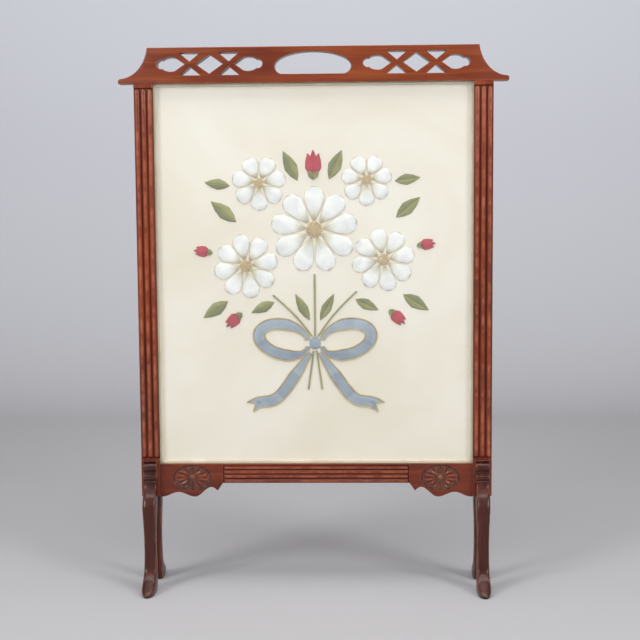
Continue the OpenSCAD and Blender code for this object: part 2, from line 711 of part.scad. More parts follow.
// A flat band along a row of points [across, up, width], moved sideways by share of its width.
// A notch cuts its far end into two points.
function side_step(p, i) =
    let (a = p[max(i - 1, 0)], b = p[min(i + 1, len(p) - 1)], d = [b[0] - a[0], b[1] - a[1]])
    [-d[1], d[0]] / norm(d);
function edge_point(p, i, s) = [p[i][0], p[i][1]] + side_step(p, i) * p[i][2] * s;
module band(p, s0, s1, notch) {
    n = len(p) - 1;
    end = side_step(p, n);
    polygon(concat(
        [for (i = [0:n]) edge_point(p, i, s1)],
        notch > 0 ? [edge_point(p, n, 0) - [end[1], -end[0]] * notch] : [],
        [for (i = [n:-1:0]) edge_point(p, i, s0)]
    ));
}

tie = -118 * unit;                        // height of the knot, from the middle of the panel
knot_r = 10.5 * unit;
strand = 8 * unit;                        // width of the ribbon where it enters the knot
// The stems run from the knot up to the flowers, and splay out below it. Each is given by its
// two ends, across and up, and by how far it bows sideways.
stem_w = 3 * unit;
STEMS = [
    [[0, -106], [0, 2], 0], [[-5, -106], [-72, -34], 5], [[5, -106], [72, -28], -5],
    [[-2.6, -130.5], [-12, -198], 0], [[2.6, -130.5], [12, -198], 0]
];
function stem_line(s) = [for (i = [0:8])
    let (t = i / 8, p = (s[0] + (s[1] - s[0]) * t + [s[2] * sin(180 * t), 0]) * unit) [p[0], p[1], stem_w]];
module worked_stems() color([0.50, 0.52, 0.32]) translate([0, 0, mid_z]) for (s = STEMS)
    upright(silk_y - cord_t, cord_t) band(stem_line(s), -0.5, 0.5, 0);

// One loop and one tail of the bow, on the right. The loop leaves the knot below and comes back
// above, and the tail falls in waves that grow towards its end.
loop_start = 13 * unit;
loop_reach = 84 * unit;
loop_rise = 14 * unit;
loop_half = 24 * unit;                    // half height of the loop
loop_part = 5 * unit;                     // half the gap between its two ends
tail_start = [9, -15] * unit;
tail_reach = 105 * unit;
tail_drop = 96 * unit;
tail_wave = 7 * unit;
swallow = 12 * unit;                      // depth of the notch in each tail
function widening(t) = strand + (ribbon_w - strand) * min(1, t);
function loop_line() = [for (a = [-180:12:180]) let (f = (1 + cos(a)) / 2)
    [loop_start + loop_reach * f,
     tie + loop_rise * f + loop_half * sin(a) + loop_part * a / 180, widening(2.5 * f)]];
function tail_line() = [for (i = [0:14]) let (t = i / 14)
    [tail_start[0] + tail_reach * t,
     tie + tail_start[1] - tail_drop * t * (2 - t) + tail_wave * t * sin(540 * t), widening(4 * t)]];
edge_share = cord_w / ribbon_w;

module ribbon_bow() color([0.62, 0.67, 0.71]) translate([0, 0, mid_z]) {
    both_sides() upright(silk_y - ribbon_t, ribbon_t) {
        band(loop_line(), -0.5 + edge_share, 0.5 - edge_share, 0);
        band(tail_line(), -0.5 + edge_share, 0.5 - edge_share, swallow);
    }
    upright(silk_y - petal_rise, petal_rise) translate([0, tie]) circle(knot_r);
}

module ribbon_edging() color([0.86, 0.78, 0.52]) translate([0, 0, mid_z]) both_sides()
    upright(silk_y - cord_t, cord_t) for (line = [loop_line(), tail_line()]) {
        band(line, -0.5, -0.5 + edge_share * 0.98, 0);
        band(line, 0.5 - edge_share * 0.98, 0.5, 0);
    }

crest_rail();
left_stile();
right_stile();
bottom_rail();
front_leg_left();
front_leg_right();
back_leg_left();
back_leg_right();
leg_dowels();
glass_pane();
slip_top();
slip_bottom();
slip_left();
slip_right();
silk_ground();
strainer_top();
strainer_bottom();
strainer_left();
strainer_right();
strainer_keys();
silk_tacks();
back_board();
back_bead_top();
back_bead_bottom();
back_bead_left();
back_bead_right();
bead_pins();
flower_petals();
flower_centres();
worked_leaves();
worked_stems();
rose_buds();
ribbon_bow();
ribbon_edging();
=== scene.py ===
# Dressing of a fire screen: french-polished mahogany, a glazed silk panel and raised needlework.
# Outlines are worked in millimetres, as on the bench, and become metres when a mesh is made.
import math
import bmesh
import bpy
import numpy as np
from mathutils import Matrix, Vector
from mathutils.geometry import tessellate_polygon


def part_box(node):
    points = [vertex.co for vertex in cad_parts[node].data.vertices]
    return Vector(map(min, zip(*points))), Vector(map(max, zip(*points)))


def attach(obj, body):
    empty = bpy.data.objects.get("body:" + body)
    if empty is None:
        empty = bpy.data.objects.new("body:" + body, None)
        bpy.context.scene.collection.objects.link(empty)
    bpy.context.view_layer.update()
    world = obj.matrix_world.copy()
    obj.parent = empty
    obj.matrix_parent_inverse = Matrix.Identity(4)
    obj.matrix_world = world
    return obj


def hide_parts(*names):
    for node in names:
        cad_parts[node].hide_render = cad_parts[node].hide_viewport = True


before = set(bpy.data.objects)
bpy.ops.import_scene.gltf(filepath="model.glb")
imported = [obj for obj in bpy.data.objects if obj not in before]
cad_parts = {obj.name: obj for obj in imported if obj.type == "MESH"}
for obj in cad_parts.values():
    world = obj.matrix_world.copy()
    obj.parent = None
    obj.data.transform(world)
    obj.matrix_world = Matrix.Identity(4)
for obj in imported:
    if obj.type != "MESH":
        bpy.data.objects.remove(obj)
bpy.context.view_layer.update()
MM = 0.001


# Places read from the frame, in millimetres
def corners(node):
    low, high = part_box(node)
    return low / MM, high / MM


crest_lo, crest_hi = corners("crest_rail")
stile_lo, stile_hi = corners("right_stile")
rail_lo, rail_hi = corners("bottom_rail")
glass_lo, glass_hi = corners("glass_pane")
slip_lo, slip_hi = corners("slip_top")
silk_lo, silk_hi = corners("silk_ground")
bead_lo, bead_hi = corners("back_bead_top")

CREST_Z = crest_lo.z
CREST_HALF = crest_hi.x
CREST_H = crest_hi.z - crest_lo.z
FACE_Y = stile_lo.y
BACK_Y = stile_hi.y
SIGHT_HALF = stile_lo.x
HALF_W = stile_hi.x
STILE_X = (SIGHT_HALF + HALF_W) / 2
STILE_W = HALF_W - SIGHT_HALF
STILE_FOOT = stile_lo.z
RAIL_TOP = rail_hi.z
RAIL_Y = rail_lo.y
APRON_Z = rail_lo.z
GLASS_Y = glass_lo.y
PANEL_HALF_W = glass_hi.x
PANEL_HALF_H = (glass_hi.z - glass_lo.z) / 2
MID_Z = (glass_hi.z + glass_lo.z) / 2
REBATE_W = PANEL_HALF_W + 0.4 - SIGHT_HALF
SILK_Y = silk_lo.y

# Sizes of the woodwork that repeat the construction's own
CREST_INSET = 24
TIP_H = 5.5
SWEEP_FOOT = 8.5
SWEEP_RISE = 9
SLOT_W = 129
SLOT_SILL = 14.2
SLOT_TOP = 51.8
SLOT_R = 13.5
SLOT_GAP = 20.4
FRET_MARGIN = 15.7
FRET_Z = 32
FRET_H = 37.4
CROSS_GAP = 66.3
DIAMOND = (46, 32)
TRIANGLE = (35, 14.3)
LEAF_GAP = 8.9
LEAF_BELLY = 18
LEAF_HALF_H = 12.1
LOBE_R = 7.6
LOBE_MERGE = 1.4
STILE_REEDS = 3
STILE_REED_DEPTH = 3.2
REED_STOP = 7
RAIL_REEDS = 4
RAIL_REED_DEPTH = 2.2
REED_INSET = 110
QUIRK = 0.5
RAIL_H = 34.8
RAIL_MARGIN = 3.4
OVAL_MARGIN = 55.9
OVAL_RISE = 31.5
OVAL_RX = 33.7
OVAL_RZ = 22.6
OVAL_SINK = 3.4
PETALS = 12
BOSS_R = 4.6
BLOCK_RISE = 64
BLOCK_W = 24
SCROLL_H = 38.5
KNEE_REACH = 32
TOE_REACH = 70.5
SHANK_D = 18
SHANK_GAP = 8
SHANK_W = 20.5
FOOT_W = 23.4

# The photograph's viewpoint: metres, degrees, and the lens on a 36 mm sensor
CAMERA_AT = (0.0796, -2.2298, 0.6894)
CAMERA_YAW = -1.82
CAMERA_PITCH = 5.67
CAMERA_ROLL = -0.44
CAMERA_LENS = 73.1


def place_camera():
    yaw, pitch, roll = (math.radians(a) for a in (CAMERA_YAW, CAMERA_PITCH, CAMERA_ROLL))
    ahead = Vector((math.sin(yaw) * math.cos(pitch), math.cos(yaw) * math.cos(pitch), -math.sin(pitch)))
    side = Vector((math.cos(yaw), -math.sin(yaw), 0))
    up = side.cross(ahead)
    right = math.cos(roll) * side + math.sin(roll) * up
    top = math.cos(roll) * up - math.sin(roll) * side
    camera = bpy.data.objects.new("camera", bpy.data.cameras.new("camera"))
    camera.data.lens = CAMERA_LENS
    camera.data.sensor_width = 36
    camera.data.clip_end = 50
    camera.matrix_world = Matrix.Translation(CAMERA_AT) @ Matrix((right, top, -ahead)).transposed().to_4x4()
    bpy.context.scene.collection.objects.link(camera)
    bpy.context.scene.camera = camera


# Drawing helpers
def arc(cx, cz, rx, rz, a0, a1, n):
    angles = [math.radians(a0 + (a1 - a0) * i / n) for i in range(n + 1)]
    return [(cx + rx * math.cos(a), cz + rz * math.sin(a)) for a in angles]


def ease_between(a, b, x):
    """0 at a and before it, 1 at b and past it, smooth between."""
    t = min(1.0, max(0.0, (x - a) / (b - a)))
    return t * t * (3 - 2 * t)


def through(points, t):
    """A smooth curve through rows of values at whole steps of t (Catmull and Rom's rule)."""
    i = min(int(t), len(points) - 2)
    t -= i
    a, b, c, d = (points[max(0, min(len(points) - 1, k))] for k in (i - 1, i, i + 1, i + 2))
    return 0.5 * (2 * b + (c - a) * t + (2 * a - 5 * b + 4 * c - d) * t ** 2 + (3 * b - a - 3 * c + d) * t ** 3)


def shift(loop, inset):
    """Moves a closed outline to the left of its own travel, with blunted mitres."""
    moved = []
    for i, p in enumerate(loop):
        before, after = Vector(p) - Vector(loop[i - 1]), Vector(loop[(i + 1) % len(loop)]) - Vector(p)
        before.normalize()
        after.normalize()
        n0, n1 = Vector((-before.y, before.x)), Vector((-after.y, after.x))
        moved.append(tuple(Vector(p) + (n0 + n1) * inset / max(0.55, 1 + n0.dot(n1))))
    return moved


class Shell:
    """A skin of rings and patches, in millimetres, with a carving mark on each point.

    A mark is (painted shade in recesses, rubbed wear with painted highlight on arrises and crests, dust), each
    from 0 to 1, and the polish reads it."""

    def __init__(self):
        self.points, self.marks, self.places, self.faces, self.flat = [], [], [], [], []

    def ring(self, points, marks=(0, 0, 0), places=None):
        first = len(self.points)
        self.points += [tuple(p) for p in points]
        self.marks += list(marks) if isinstance(marks, list) else [marks] * len(points)
        self.places += places or [(0, 0)] * len(points)
        return list(range(first, len(self.points)))

    def bridge(self, a, b, closed=True):
        for i in range(len(a) if closed else len(a) - 1):
            j = (i + 1) % len(a)
            self.faces.append((a[i], a[j], b[j], b[i]))
            self.flat.append(False)

    def loft(self, rings, closed=True):
        for a, b in zip(rings, rings[1:]):
            self.bridge(a, b, closed)

    def fill(self, rings, across=(0, 2)):
        """Closes one or more rings that lie in a plane; the first is the outer one."""
        flat = [[Vector((self.points[i][across[0]], self.points[i][across[1]], 0)) for i in r] for r in rings]
        index = [i for r in rings for i in r]
        for tri in tessellate_polygon(flat):
            self.faces.append(tuple(index[k] for k in tri))
            self.flat.append(True)

    def board(self, outline, holes, y0, y1, ease):
        """An upright board, its outline anticlockwise and its holes clockwise, all arrises eased."""
        steps = 4
        levels = [math.radians(90 * k / steps) for k in range(steps + 1)]
        # The third value of each easing step paints highlight with rubbed wear, strongest at the middle of the
        # arris.
        eased = [(ease * (1 - math.sin(a)), ease * (1 - math.cos(a)), math.sin(2 * a)) for a in levels]
        down = [(y0 + depth, inset, wear_and_highlight) for inset, depth, wear_and_highlight in eased]
        down += [(y1 - depth, inset, wear_and_highlight) for inset, depth, wear_and_highlight in reversed(eased)]
        faces = []
        for loop in [outline, *holes]:
            rings = []
            for y, inset, wear_and_highlight in down:
                rings.append(self.ring([(x, y, z) for x, z in shift(loop, inset)], (0, wear_and_highlight, 0)))
            self.loft(rings)
            faces.append(rings)
        self.fill([rings[0] for rings in faces])
        self.fill([rings[-1] for rings in faces])

    def mesh(self, name, flip=(1, 1), sharp=38):
        scale = np.array([MM * flip[0], MM * flip[1], MM])
        mesh = bpy.data.meshes.new(name)
        mesh.from_pydata((np.array(self.points, float) * scale).tolist(), [], self.faces)
        mesh.polygons.foreach_set("use_smooth", [not f for f in self.flat])
        carving = mesh.attributes.new("carving", "FLOAT_VECTOR", "POINT")
        carving.data.foreach_set("vector", np.array(self.marks, float).ravel())
        corner_points = np.zeros(len(mesh.loops), int)
        mesh.loops.foreach_get("vertex_index", corner_points)
        threads = mesh.uv_layers.new(name="thread").data
        threads.foreach_set("uv", np.array(self.places, float)[corner_points].ravel())
        work = bmesh.new()
        work.from_mesh(mesh)
        bmesh.ops.remove_doubles(work, verts=work.verts, dist=2e-6)
        bmesh.ops.dissolve_degenerate(work, edges=work.edges, dist=1e-6)
        bmesh.ops.recalc_face_normals(work, faces=work.faces)
        work.to_mesh(mesh)
        work.free()
        mesh.set_sharp_from_angle(angle=math.radians(sharp))
        return mesh


def show(mesh, name, finish, replaces=(), cutter=None):
    """Makes a piece of a mesh, cuts a box out of it if asked, and settles it on the frame."""
    piece = bpy.data.objects.new(name, mesh)
    bpy.context.scene.collection.objects.link(piece)
    if cutter:
        cut_box(piece, *cutter)
    piece.data.materials.clear()
    piece.data.materials.append(finish)
    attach(piece, "root")
    if replaces:
        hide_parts(*replaces)
    return piece


def settle(piece):
    """Applies a piece's modifiers, so that it is a plain mesh."""
    graph = bpy.context.evaluated_depsgraph_get()
    solid = bpy.data.meshes.new_from_object(piece.evaluated_get(graph))
    piece.modifiers.clear()
    piece.data = solid


def cut_box(piece, low, high):
    block = bmesh.new()
    size = Vector(high) - Vector(low)
    middle = (Vector(high) + Vector(low)) / 2
    place = Matrix.Translation(middle * MM) @ Matrix.Diagonal((*(size * MM), 1))
    bmesh.ops.create_cube(block, size=1, matrix=place)
    mesh = bpy.data.meshes.new("rebate_cutter")
    block.to_mesh(mesh)
    block.free()
    cutter = bpy.data.objects.new("rebate_cutter", mesh)
    bpy.context.scene.collection.objects.link(cutter)
    cut = piece.modifiers.new("rebate", "BOOLEAN")
    cut.operation = "DIFFERENCE"
    cut.solver = "EXACT"
    cut.object = cutter
    settle(piece)
    bpy.data.objects.remove(cutter)


# Finishes
def paint(red, green, blue):
    """A colour as the eye reads it, 0 to 255, for a shader's socket."""
    parts = [v / 255 for v in (red, green, blue)]
    return (*[v / 12.92 if v <= 0.04045 else ((v + 0.055) / 1.055) ** 2.4 for v in parts], 1)


class Finish:
    """One material, and short names for the nodes that make it."""

    def __init__(self, name, **sockets):
        self.material = bpy.data.materials.new(name)
        self.material.use_nodes = True
        self.tree = self.material.node_tree
        self.shader = self.tree.nodes["Principled BSDF"]
        for socket, value in sockets.items():
            self.put(self.shader.inputs[socket.replace("_", " ")], value)
        self.object = self.node("ShaderNodeTexCoord").outputs["Object"]

    def put(self, socket, value):
        if isinstance(value, bpy.types.NodeSocket):
            self.tree.links.new(value, socket)
        else:
            socket.default_value = value

    def node(self, kind, inputs=(), **settings):
        made = self.tree.nodes.new(kind)
        for key, value in settings.items():
            setattr(made, key, value)
        for key, value in dict(inputs).items():
            self.put(made.inputs[key], value)
        return made

    def noise(self, scale, detail=2.0, twist=0.0, start=(0, 0, 0), space=None, rough=0.5):
        """Noise with its own count of waves to the metre along each axis."""
        place = self.node("ShaderNodeMapping", {0: space or self.object, 1: start, 3: scale})
        settings = {0: place.outputs[0], "Scale": 1.0, "Detail": detail, "Distortion": twist, "Roughness": rough}
        return self.node("ShaderNodeTexNoise", settings).outputs["Fac"]

    def span(self, value, low, high, start=0.0, end=1.0):
        return self.node("ShaderNodeMapRange", {0: value, 1: low, 2: high, 3: start, 4: end}).outputs[0]

    def math(self, way, a, b=0.0):
        return self.node("ShaderNodeMath", {0: a, 1: b}, operation=way).outputs[0]

    def mix(self, share, under, over, way="MIX"):
        made = self.node("ShaderNodeMix", data_type="RGBA", blend_type=way)
        for socket, value in zip((0, 6, 7), (share, under, over)):
            self.put(made.inputs[socket], value)
        return made.outputs[2]

    def mark(self):
        """The carving mark of the surface, as three values: painted shade, rubbed wear with painted highlight,
        and dust.
        """
        read = self.node("ShaderNodeAttribute", attribute_name="carving")
        return self.node("ShaderNodeSeparateXYZ", {0: read.outputs["Vector"]}).outputs

    def bump(self, height, strength, depth):
        made = self.node("ShaderNodeBump", {"Height": height, "Strength": strength, "Distance": depth})
        self.put(self.shader.inputs["Normal"], made.outputs[0])

    def colour(self, value):
        self.put(self.shader.inputs["Base Color"], value)

    def roughness(self, value):
        self.put(self.shader.inputs["Roughness"], value)


def along(axis, length, across):
    """Waves to the metre for a grain that runs along one axis."""
    return tuple(length if k == axis else across for k in range(3))


def mahogany(name, axis, start, deep, body, bright):
    f = Finish(name, Coat_Weight=0.3, Coat_Roughness=0.1, Specular_IOR_Level=0.3)
    figure = f.noise(along(axis, 3.2, 16), 3, 0.5, start)
    ribbon = f.noise(along(axis, 5, 95), 4, 0.3, start)
    streak = f.noise(along(axis, 14, 420), 5, 0.4, start)
    pores = f.span(f.noise(along(axis, 170, 2600), 2, 0.0, start), 0.6, 0.7)
    blotch = f.noise((7, 7, 7), 2, 0.6, start)
    tone = f.mix(f.span(figure, 0.36, 0.64), deep, body)
    tone = f.mix(f.span(ribbon, 0.5, 0.72, 0, 0.75), tone, bright)
    tone = f.mix(f.span(streak, 0.52, 0.75, 0, 0.4), tone, deep)
    tone = f.mix(f.span(blotch, 0.45, 0.75, 0, 0.45), tone, body)
    tone = f.mix(f.math("MULTIPLY", pores, 0.55), tone, paint(52, 20, 12))
    # The first value paints shade into recesses, the second paints rubbed wear with highlight on arrises and
    # crests, the third paints grey dust.
    painted_shade, wear_and_highlight, dusty = f.mark()
    tone = f.mix(f.math("MULTIPLY", painted_shade, 0.8), tone, paint(58, 20, 12))
    patchy_wear_and_highlight = f.math("MULTIPLY", wear_and_highlight, f.span(f.noise((60, 60, 60), 3, 0, start), 0.4, 0.64, 0.1, 0.7))
    tone = f.mix(patchy_wear_and_highlight, tone, paint(188, 112, 78))
    tone = f.mix(f.math("MULTIPLY", dusty, 0.7), tone, paint(112, 92, 80))
    f.colour(tone)
    smear = f.span(f.noise((16, 16, 16), 3, 0.4, start), 0.3, 0.7, 0.3, 0.46)
    f.roughness(f.math("MAXIMUM", smear, f.math("MULTIPLY", dusty, 0.75)))
    f.bump(f.math("SUBTRACT", f.math("MULTIPLY", streak, 0.5), pores), 0.12, 0.0003)
    return f.material


def deal(name, axis, dark, pale):
    f = Finish(name, Specular_IOR_Level=0.25)
    rings = f.noise(along(axis, 1.6, 22), 2, 1.4)
    bands = f.node("ShaderNodeMath", {0: f.math("MULTIPLY", rings, 46.0)}, operation="SINE").outputs[0]
    fibre = f.noise(along(axis, 30, 900), 4)
    blotch = f.noise((5, 5, 5), 3, 0.5)
    tone = f.mix(f.span(bands, -0.6, 1.0, 0.0, 0.7), pale, dark)
    tone = f.mix(f.span(fibre, 0.45, 0.7, 0.0, 0.4), tone, dark)
    tone = f.mix(f.span(blotch, 0.5, 0.8, 0.0, 0.45), tone, dark)
    f.colour(tone)
    f.roughness(f.span(fibre, 0.3, 0.7, 0.6, 0.78))
    f.bump(fibre, 0.2, 0.0003)
    return f.material


def floss(name, light, dark, base, twist=0.0, shine=0.34, metal=0.0):
    """Silk thread: fine strands along the thread, and a shade that the mark's first value deepens."""
    f = Finish(name, Sheen_Weight=0.25, Sheen_Roughness=0.4, Metallic=metal, Specular_IOR_Level=0.5)
    thread = f.node("ShaderNodeUVMap", uv_map="thread").outputs[0]
    strands = f.noise((60, 2400, 1), 3, twist, space=thread)
    drift = f.noise((45, 45, 45), 3, 0.5)
    shade = f.mark()[0]
    tone = f.mix(f.span(drift, 0.35, 0.7), light, dark)
    tone = f.mix(shade, tone, base)
    tone = f.mix(f.span(strands, 0.45, 0.75, 0, 0.35), tone, dark)
    f.colour(tone)
    f.roughness(f.span(strands, 0.3, 0.7, shine, shine + 0.2))
    f.bump(strands, 0.35, 0.00012)
    return f.material


def silk_cloth():
    f = Finish("ivory_silk", Roughness=0.62, Sheen_Weight=0.2, Sheen_Roughness=0.35, Specular_IOR_Level=0.3)
    cloth = f.node("ShaderNodeUVMap", uv_map="thread").outputs[0]
    weft = f.noise((40, 2600, 1), 3, space=cloth)
    warp = f.noise((2600, 40, 1), 3, space=cloth)
    slub = f.span(f.noise((14, 700, 1), 4, space=cloth), 0.56, 0.78)
    age = f.noise((3.2, 3.2, 1), 4, 0.8, space=cloth, rough=0.6)
    spots = f.span(f.noise((60, 60, 1), 2, 0.2, space=cloth), 0.7, 0.82, 0, 0.35)
    tone = f.mix(f.span(age, 0.36, 0.66), paint(239, 235, 223), paint(229, 221, 202))
    tone = f.mix(f.math("MULTIPLY", slub, 0.22), tone, paint(214, 202, 178))
    tone = f.mix(f.span(f.math("ADD", weft, warp), 0.85, 1.15, 0, 0.22), tone, paint(222, 214, 196))
    tone = f.mix(spots, tone, paint(220, 204, 172))
    f.colour(tone)
    f.bump(f.math("ADD", f.math("ADD", weft, warp), slub), 0.22, 0.00012)
    return f.material


def slip_covering():
    f = Finish("slip_covering", Sheen_Weight=0.15, Specular_IOR_Level=0.3)
    nap = f.noise((1500, 1500, 1500), 3)
    age = f.noise((18, 18, 18), 4, 0.6)
    tone = f.mix(f.span(age, 0.35, 0.7), paint(226, 216, 192), paint(206, 192, 164))
    tone = f.mix(f.span(nap, 0.45, 0.8, 0, 0.3), tone, paint(186, 172, 146))
    f.colour(tone)
    f.roughness(f.span(nap, 0.3, 0.7, 0.66, 0.84))
    f.bump(nap, 0.25, 0.0002)
    return f.material


def old_glass():
    f = Finish("old_glass", Base_Color=paint(232, 240, 240), Alpha=0.05, IOR=1.5)
    f.roughness(f.span(f.noise((9, 9, 9), 2, 0.3), 0.3, 0.7, 0.03, 0.07))
    f.bump(f.noise((5, 5, 3), 1, 0.5), 0.08, 0.0012)
    return f.material


def metal(name, bright, dull, rough):
    f = Finish(name, Metallic=1.0)
    tarnish = f.noise((240, 240, 240), 4, 0.4)
    f.colour(f.mix(f.span(tarnish, 0.42, 0.68), bright, dull))
    f.roughness(f.span(tarnish, 0.3, 0.7, rough, rough + 0.25))
    f.bump(tarnish, 0.1, 0.0001)
    return f.material


# Woodwork
def crest_end():
    lowest = CREST_HALF - 2
    corner = HALF_W - CREST_INSET
    sweep_top = CREST_H + SWEEP_RISE
    start = 180 + math.degrees(math.asin(SWEEP_RISE / (sweep_top - SWEEP_FOOT)))
    curve = arc(lowest, sweep_top, lowest - corner + 0.5, sweep_top - SWEEP_FOOT, start, 268, 30)
    tip = [(CREST_HALF - 0.6, TIP_H + 1.5), (CREST_HALF, TIP_H), (CREST_HALF, 1), (CREST_HALF - 1, 0)]
    return curve + tip


def slot_hole():
    half = SLOT_W / 2
    spring = SLOT_SILL + SLOT_R
    outline = arc(0, spring, half, SLOT_TOP - spring, 0, 180, 60)
    outline += arc(SLOT_R - half, spring, SLOT_R, SLOT_R, 190, 270, 8)
    outline += arc(half - SLOT_R, spring, SLOT_R, SLOT_R, 270, 350, 8)
    return outline[::-1]


def leaf_hole(fret_half):
    """A leaf that ends in a small round lobe, clockwise, its point towards the diamond."""
    lobe_x = fret_half - LOBE_R
    belly_x = lobe_x - LEAF_BELLY + LOBE_MERGE
    belly = arc(belly_x, 0, LEAF_BELLY, LEAF_HALF_H, 115, 0, 40)
    lobe = arc(lobe_x, 0, LOBE_R, LOBE_R, 180, 0, 26)
    upper = [p for p in belly if math.dist(p, (lobe_x, 0)) > LOBE_R]
    upper += [p for p in lobe if math.hypot((p[0] - belly_x) / LEAF_BELLY, p[1] / LEAF_HALF_H) > 1]
    return [(CROSS_GAP / 2 + LEAF_GAP, 0)] + upper + [(x, -z) for x, z in reversed(upper[:-1])]


def fret_holes(fret_half):
    half_w, half_h = DIAMOND[0] / 2, DIAMOND[1] / 2
    holes = [[(half_w, 0), (0, -half_h), (-half_w, 0), (0, half_h)]]
    leaf = leaf_hole(fret_half)
    holes += [leaf, [(-x, z) for x, z in reversed(leaf)]]
    for x in (-CROSS_GAP / 2, CROSS_GAP / 2):
        for up in (-1, 1):
            base = up * FRET_H / 2
            tri = [(x - TRIANGLE[0] / 2, base), (x + TRIANGLE[0] / 2, base), (x, base - up * TRIANGLE[1])]
            holes.append(tri if up > 0 else tri[::-1])
    return holes


def crest_rail(finish):
    right = crest_end()[::-1]
    outline = right + [(-x, z) for x, z in reversed(right)]
    corner = HALF_W - CREST_INSET
    fret_half = (corner - FRET_MARGIN - SLOT_W / 2 - SLOT_GAP) / 2
    fret_x = corner - FRET_MARGIN - fret_half
    holes = [slot_hole()]
    for side in (-1, 1):
        holes += [[(x + side * fret_x, z + FRET_Z) for x, z in h] for h in fret_holes(fret_half)]
    shell = Shell()
    lifted = [[(x, z + CREST_Z) for x, z in loop] for loop in [outline, *holes]]
    shell.board(lifted[0], lifted[1:], crest_lo.y, crest_hi.y, 1.3)
    reach = SIGHT_HALF + REBATE_W
    rebate = ((-reach, GLASS_Y, CREST_Z - 20), (reach, BACK_Y + 20, CREST_Z + REBATE_W))
    show(shell.mesh("crest_rail_wood"), "crest_rail_wood", finish, ["crest_rail"], rebate)


def reed_depth(a, b, half_length, count, pitch, depth):
    """Depth below the crests of a bundle of reeds: a runs along them, b across from the edge."""
    chord = pitch - QUIRK
    end = half_length - chord / 2 - QUIRK
    across = b - pitch * (min(count - 1, max(0, math.floor(b / pitch))) + 0.5)
    off = math.hypot(max(0.0, abs(a) - end), across)
    radius = chord * chord / (8 * depth) + depth / 2
    return depth if off >= chord / 2 else radius - math.sqrt(radius * radius - off * off)


def arris(distance, radius):
    """How far an eased arris lies below its face, at a distance from the edge."""
    gap = min(radius, max(0.0, radius - distance))
    return radius - math.sqrt(max(0.0, radius * radius - gap * gap))


def stile(name, flip, finish, node):
    pitch = STILE_W / STILE_REEDS
    low = STILE_FOOT + BLOCK_RISE + 2
    high = CREST_Z - REED_STOP
    half, mid = (high - low) / 2, (high + low) / 2
    columns = {0, 0.2, 0.5, 0.9, STILE_W - 0.9, STILE_W - 0.5, STILE_W - 0.2, STILE_W}
    for i in range(STILE_REEDS):
        columns |= {pitch * i + QUIRK / 2 + (pitch - QUIRK) * k / 12 for k in range(13)}
    columns = sorted(columns)
    dome = [0, 0.4, 0.8, 1.3, 2, 2.8, 3.7, 4.6, 5.5, 6.4]
    levels = [STILE_FOOT, STILE_FOOT + 0.4, STILE_FOOT + 1.2, low - 12, low - 0.3]
    levels += [low + d for d in dome] + list(np.linspace(low + 12, high - 12, 22))
    levels += [high - d for d in reversed(dome)] + [high + 0.4, CREST_Z]
    seat = RAIL_TOP - REBATE_W
    shell = Shell()
    rings = []
    for z in sorted(levels + [seat, seat]):
        inside = ease_between(half + 0.3, half - 0.7, abs(z - mid))
        front, marks = [], []
        for b in columns:
            reed = inside * reed_depth(z - mid, b, half, STILE_REEDS, pitch, STILE_REED_DEPTH)
            edge = arris(min(b, STILE_W - b), 0.9)
            front.append((SIGHT_HALF + b, FACE_Y + max(reed, edge), z))
            # Reed grooves get painted shade; reed crests and the plain face get rubbed wear with painted
            # highlight.
            deep = reed / STILE_REED_DEPTH
            marks.append((deep ** 3, 0.9 * (1 - deep) ** 6 if inside > 0.5 else 0.2, 0))
        with_rebate = z > seat or len(rings) and rings[-1][1] == seat
        inner = SIGHT_HALF + (REBATE_W if with_rebate else 0)
        step = GLASS_Y if with_rebate else BACK_Y - 1
        back = [(HALF_W, BACK_Y - 0.9, z), (HALF_W - 0.3, BACK_Y - 0.3, z), (HALF_W - 0.9, BACK_Y, z)]
        back += [(inner, BACK_Y, z), (inner, step, z), (SIGHT_HALF, step - 0.1, z)]
        # The back arris gets rubbed wear with painted highlight.
        ring = shell.ring(front + back, marks + [(0, 0.4, 0)] * 3 + [(0, 0, 0)] * 3)
        rings.append((ring, z))
    shell.loft([r for r, z in rings])
    shell.fill([rings[0][0]], (0, 1))
    shell.fill([rings[-1][0]], (0, 1))
    show(shell.mesh(name, flip), name, finish, [node])


TOOTH_X = SIGHT_HALF - REED_INSET + 10.2
CROOK_X = TOOTH_X + 10.4
APRON_LOBE_X = SIGHT_HALF - OVAL_MARGIN - 4.1
OGEE_X = APRON_LOBE_X + 28.7
HEEL_X = SIGHT_HALF - 3
# The hollows and lobes of the apron's lower edge: distance from the middle, height
APRON = [(CROOK_X, 17), (APRON_LOBE_X, 0), (OGEE_X, 8.2), (HEEL_X, 0), (SIGHT_HALF + 1, 0)]


def apron_edge(x):
    """Height of the bottom rail's lower edge."""
    x = abs(x)
    straight = SIGHT_HALF - REED_INSET + 1
    level = RAIL_TOP - RAIL_H - APRON_Z
    tooth_z = 10.5
    if x <= straight:
        return APRON_Z + level
    if x <= TOOTH_X:
        return APRON_Z + level + (tooth_z - level) * (x - straight) / (TOOTH_X - straight)
    if x <= CROOK_X:
        part = (x - TOOTH_X) / (CROOK_X - TOOTH_X)
        return APRON_Z + tooth_z + (APRON[0][1] - tooth_z) * math.sin(math.pi / 2 * part)
    for (x0, z0), (x1, z1) in zip(APRON, APRON[1:]):
        if x <= x1:
            return APRON_Z + z0 + (z1 - z0) * (1 - math.cos(math.pi * (x - x0) / (x1 - x0))) / 2
    return APRON_Z


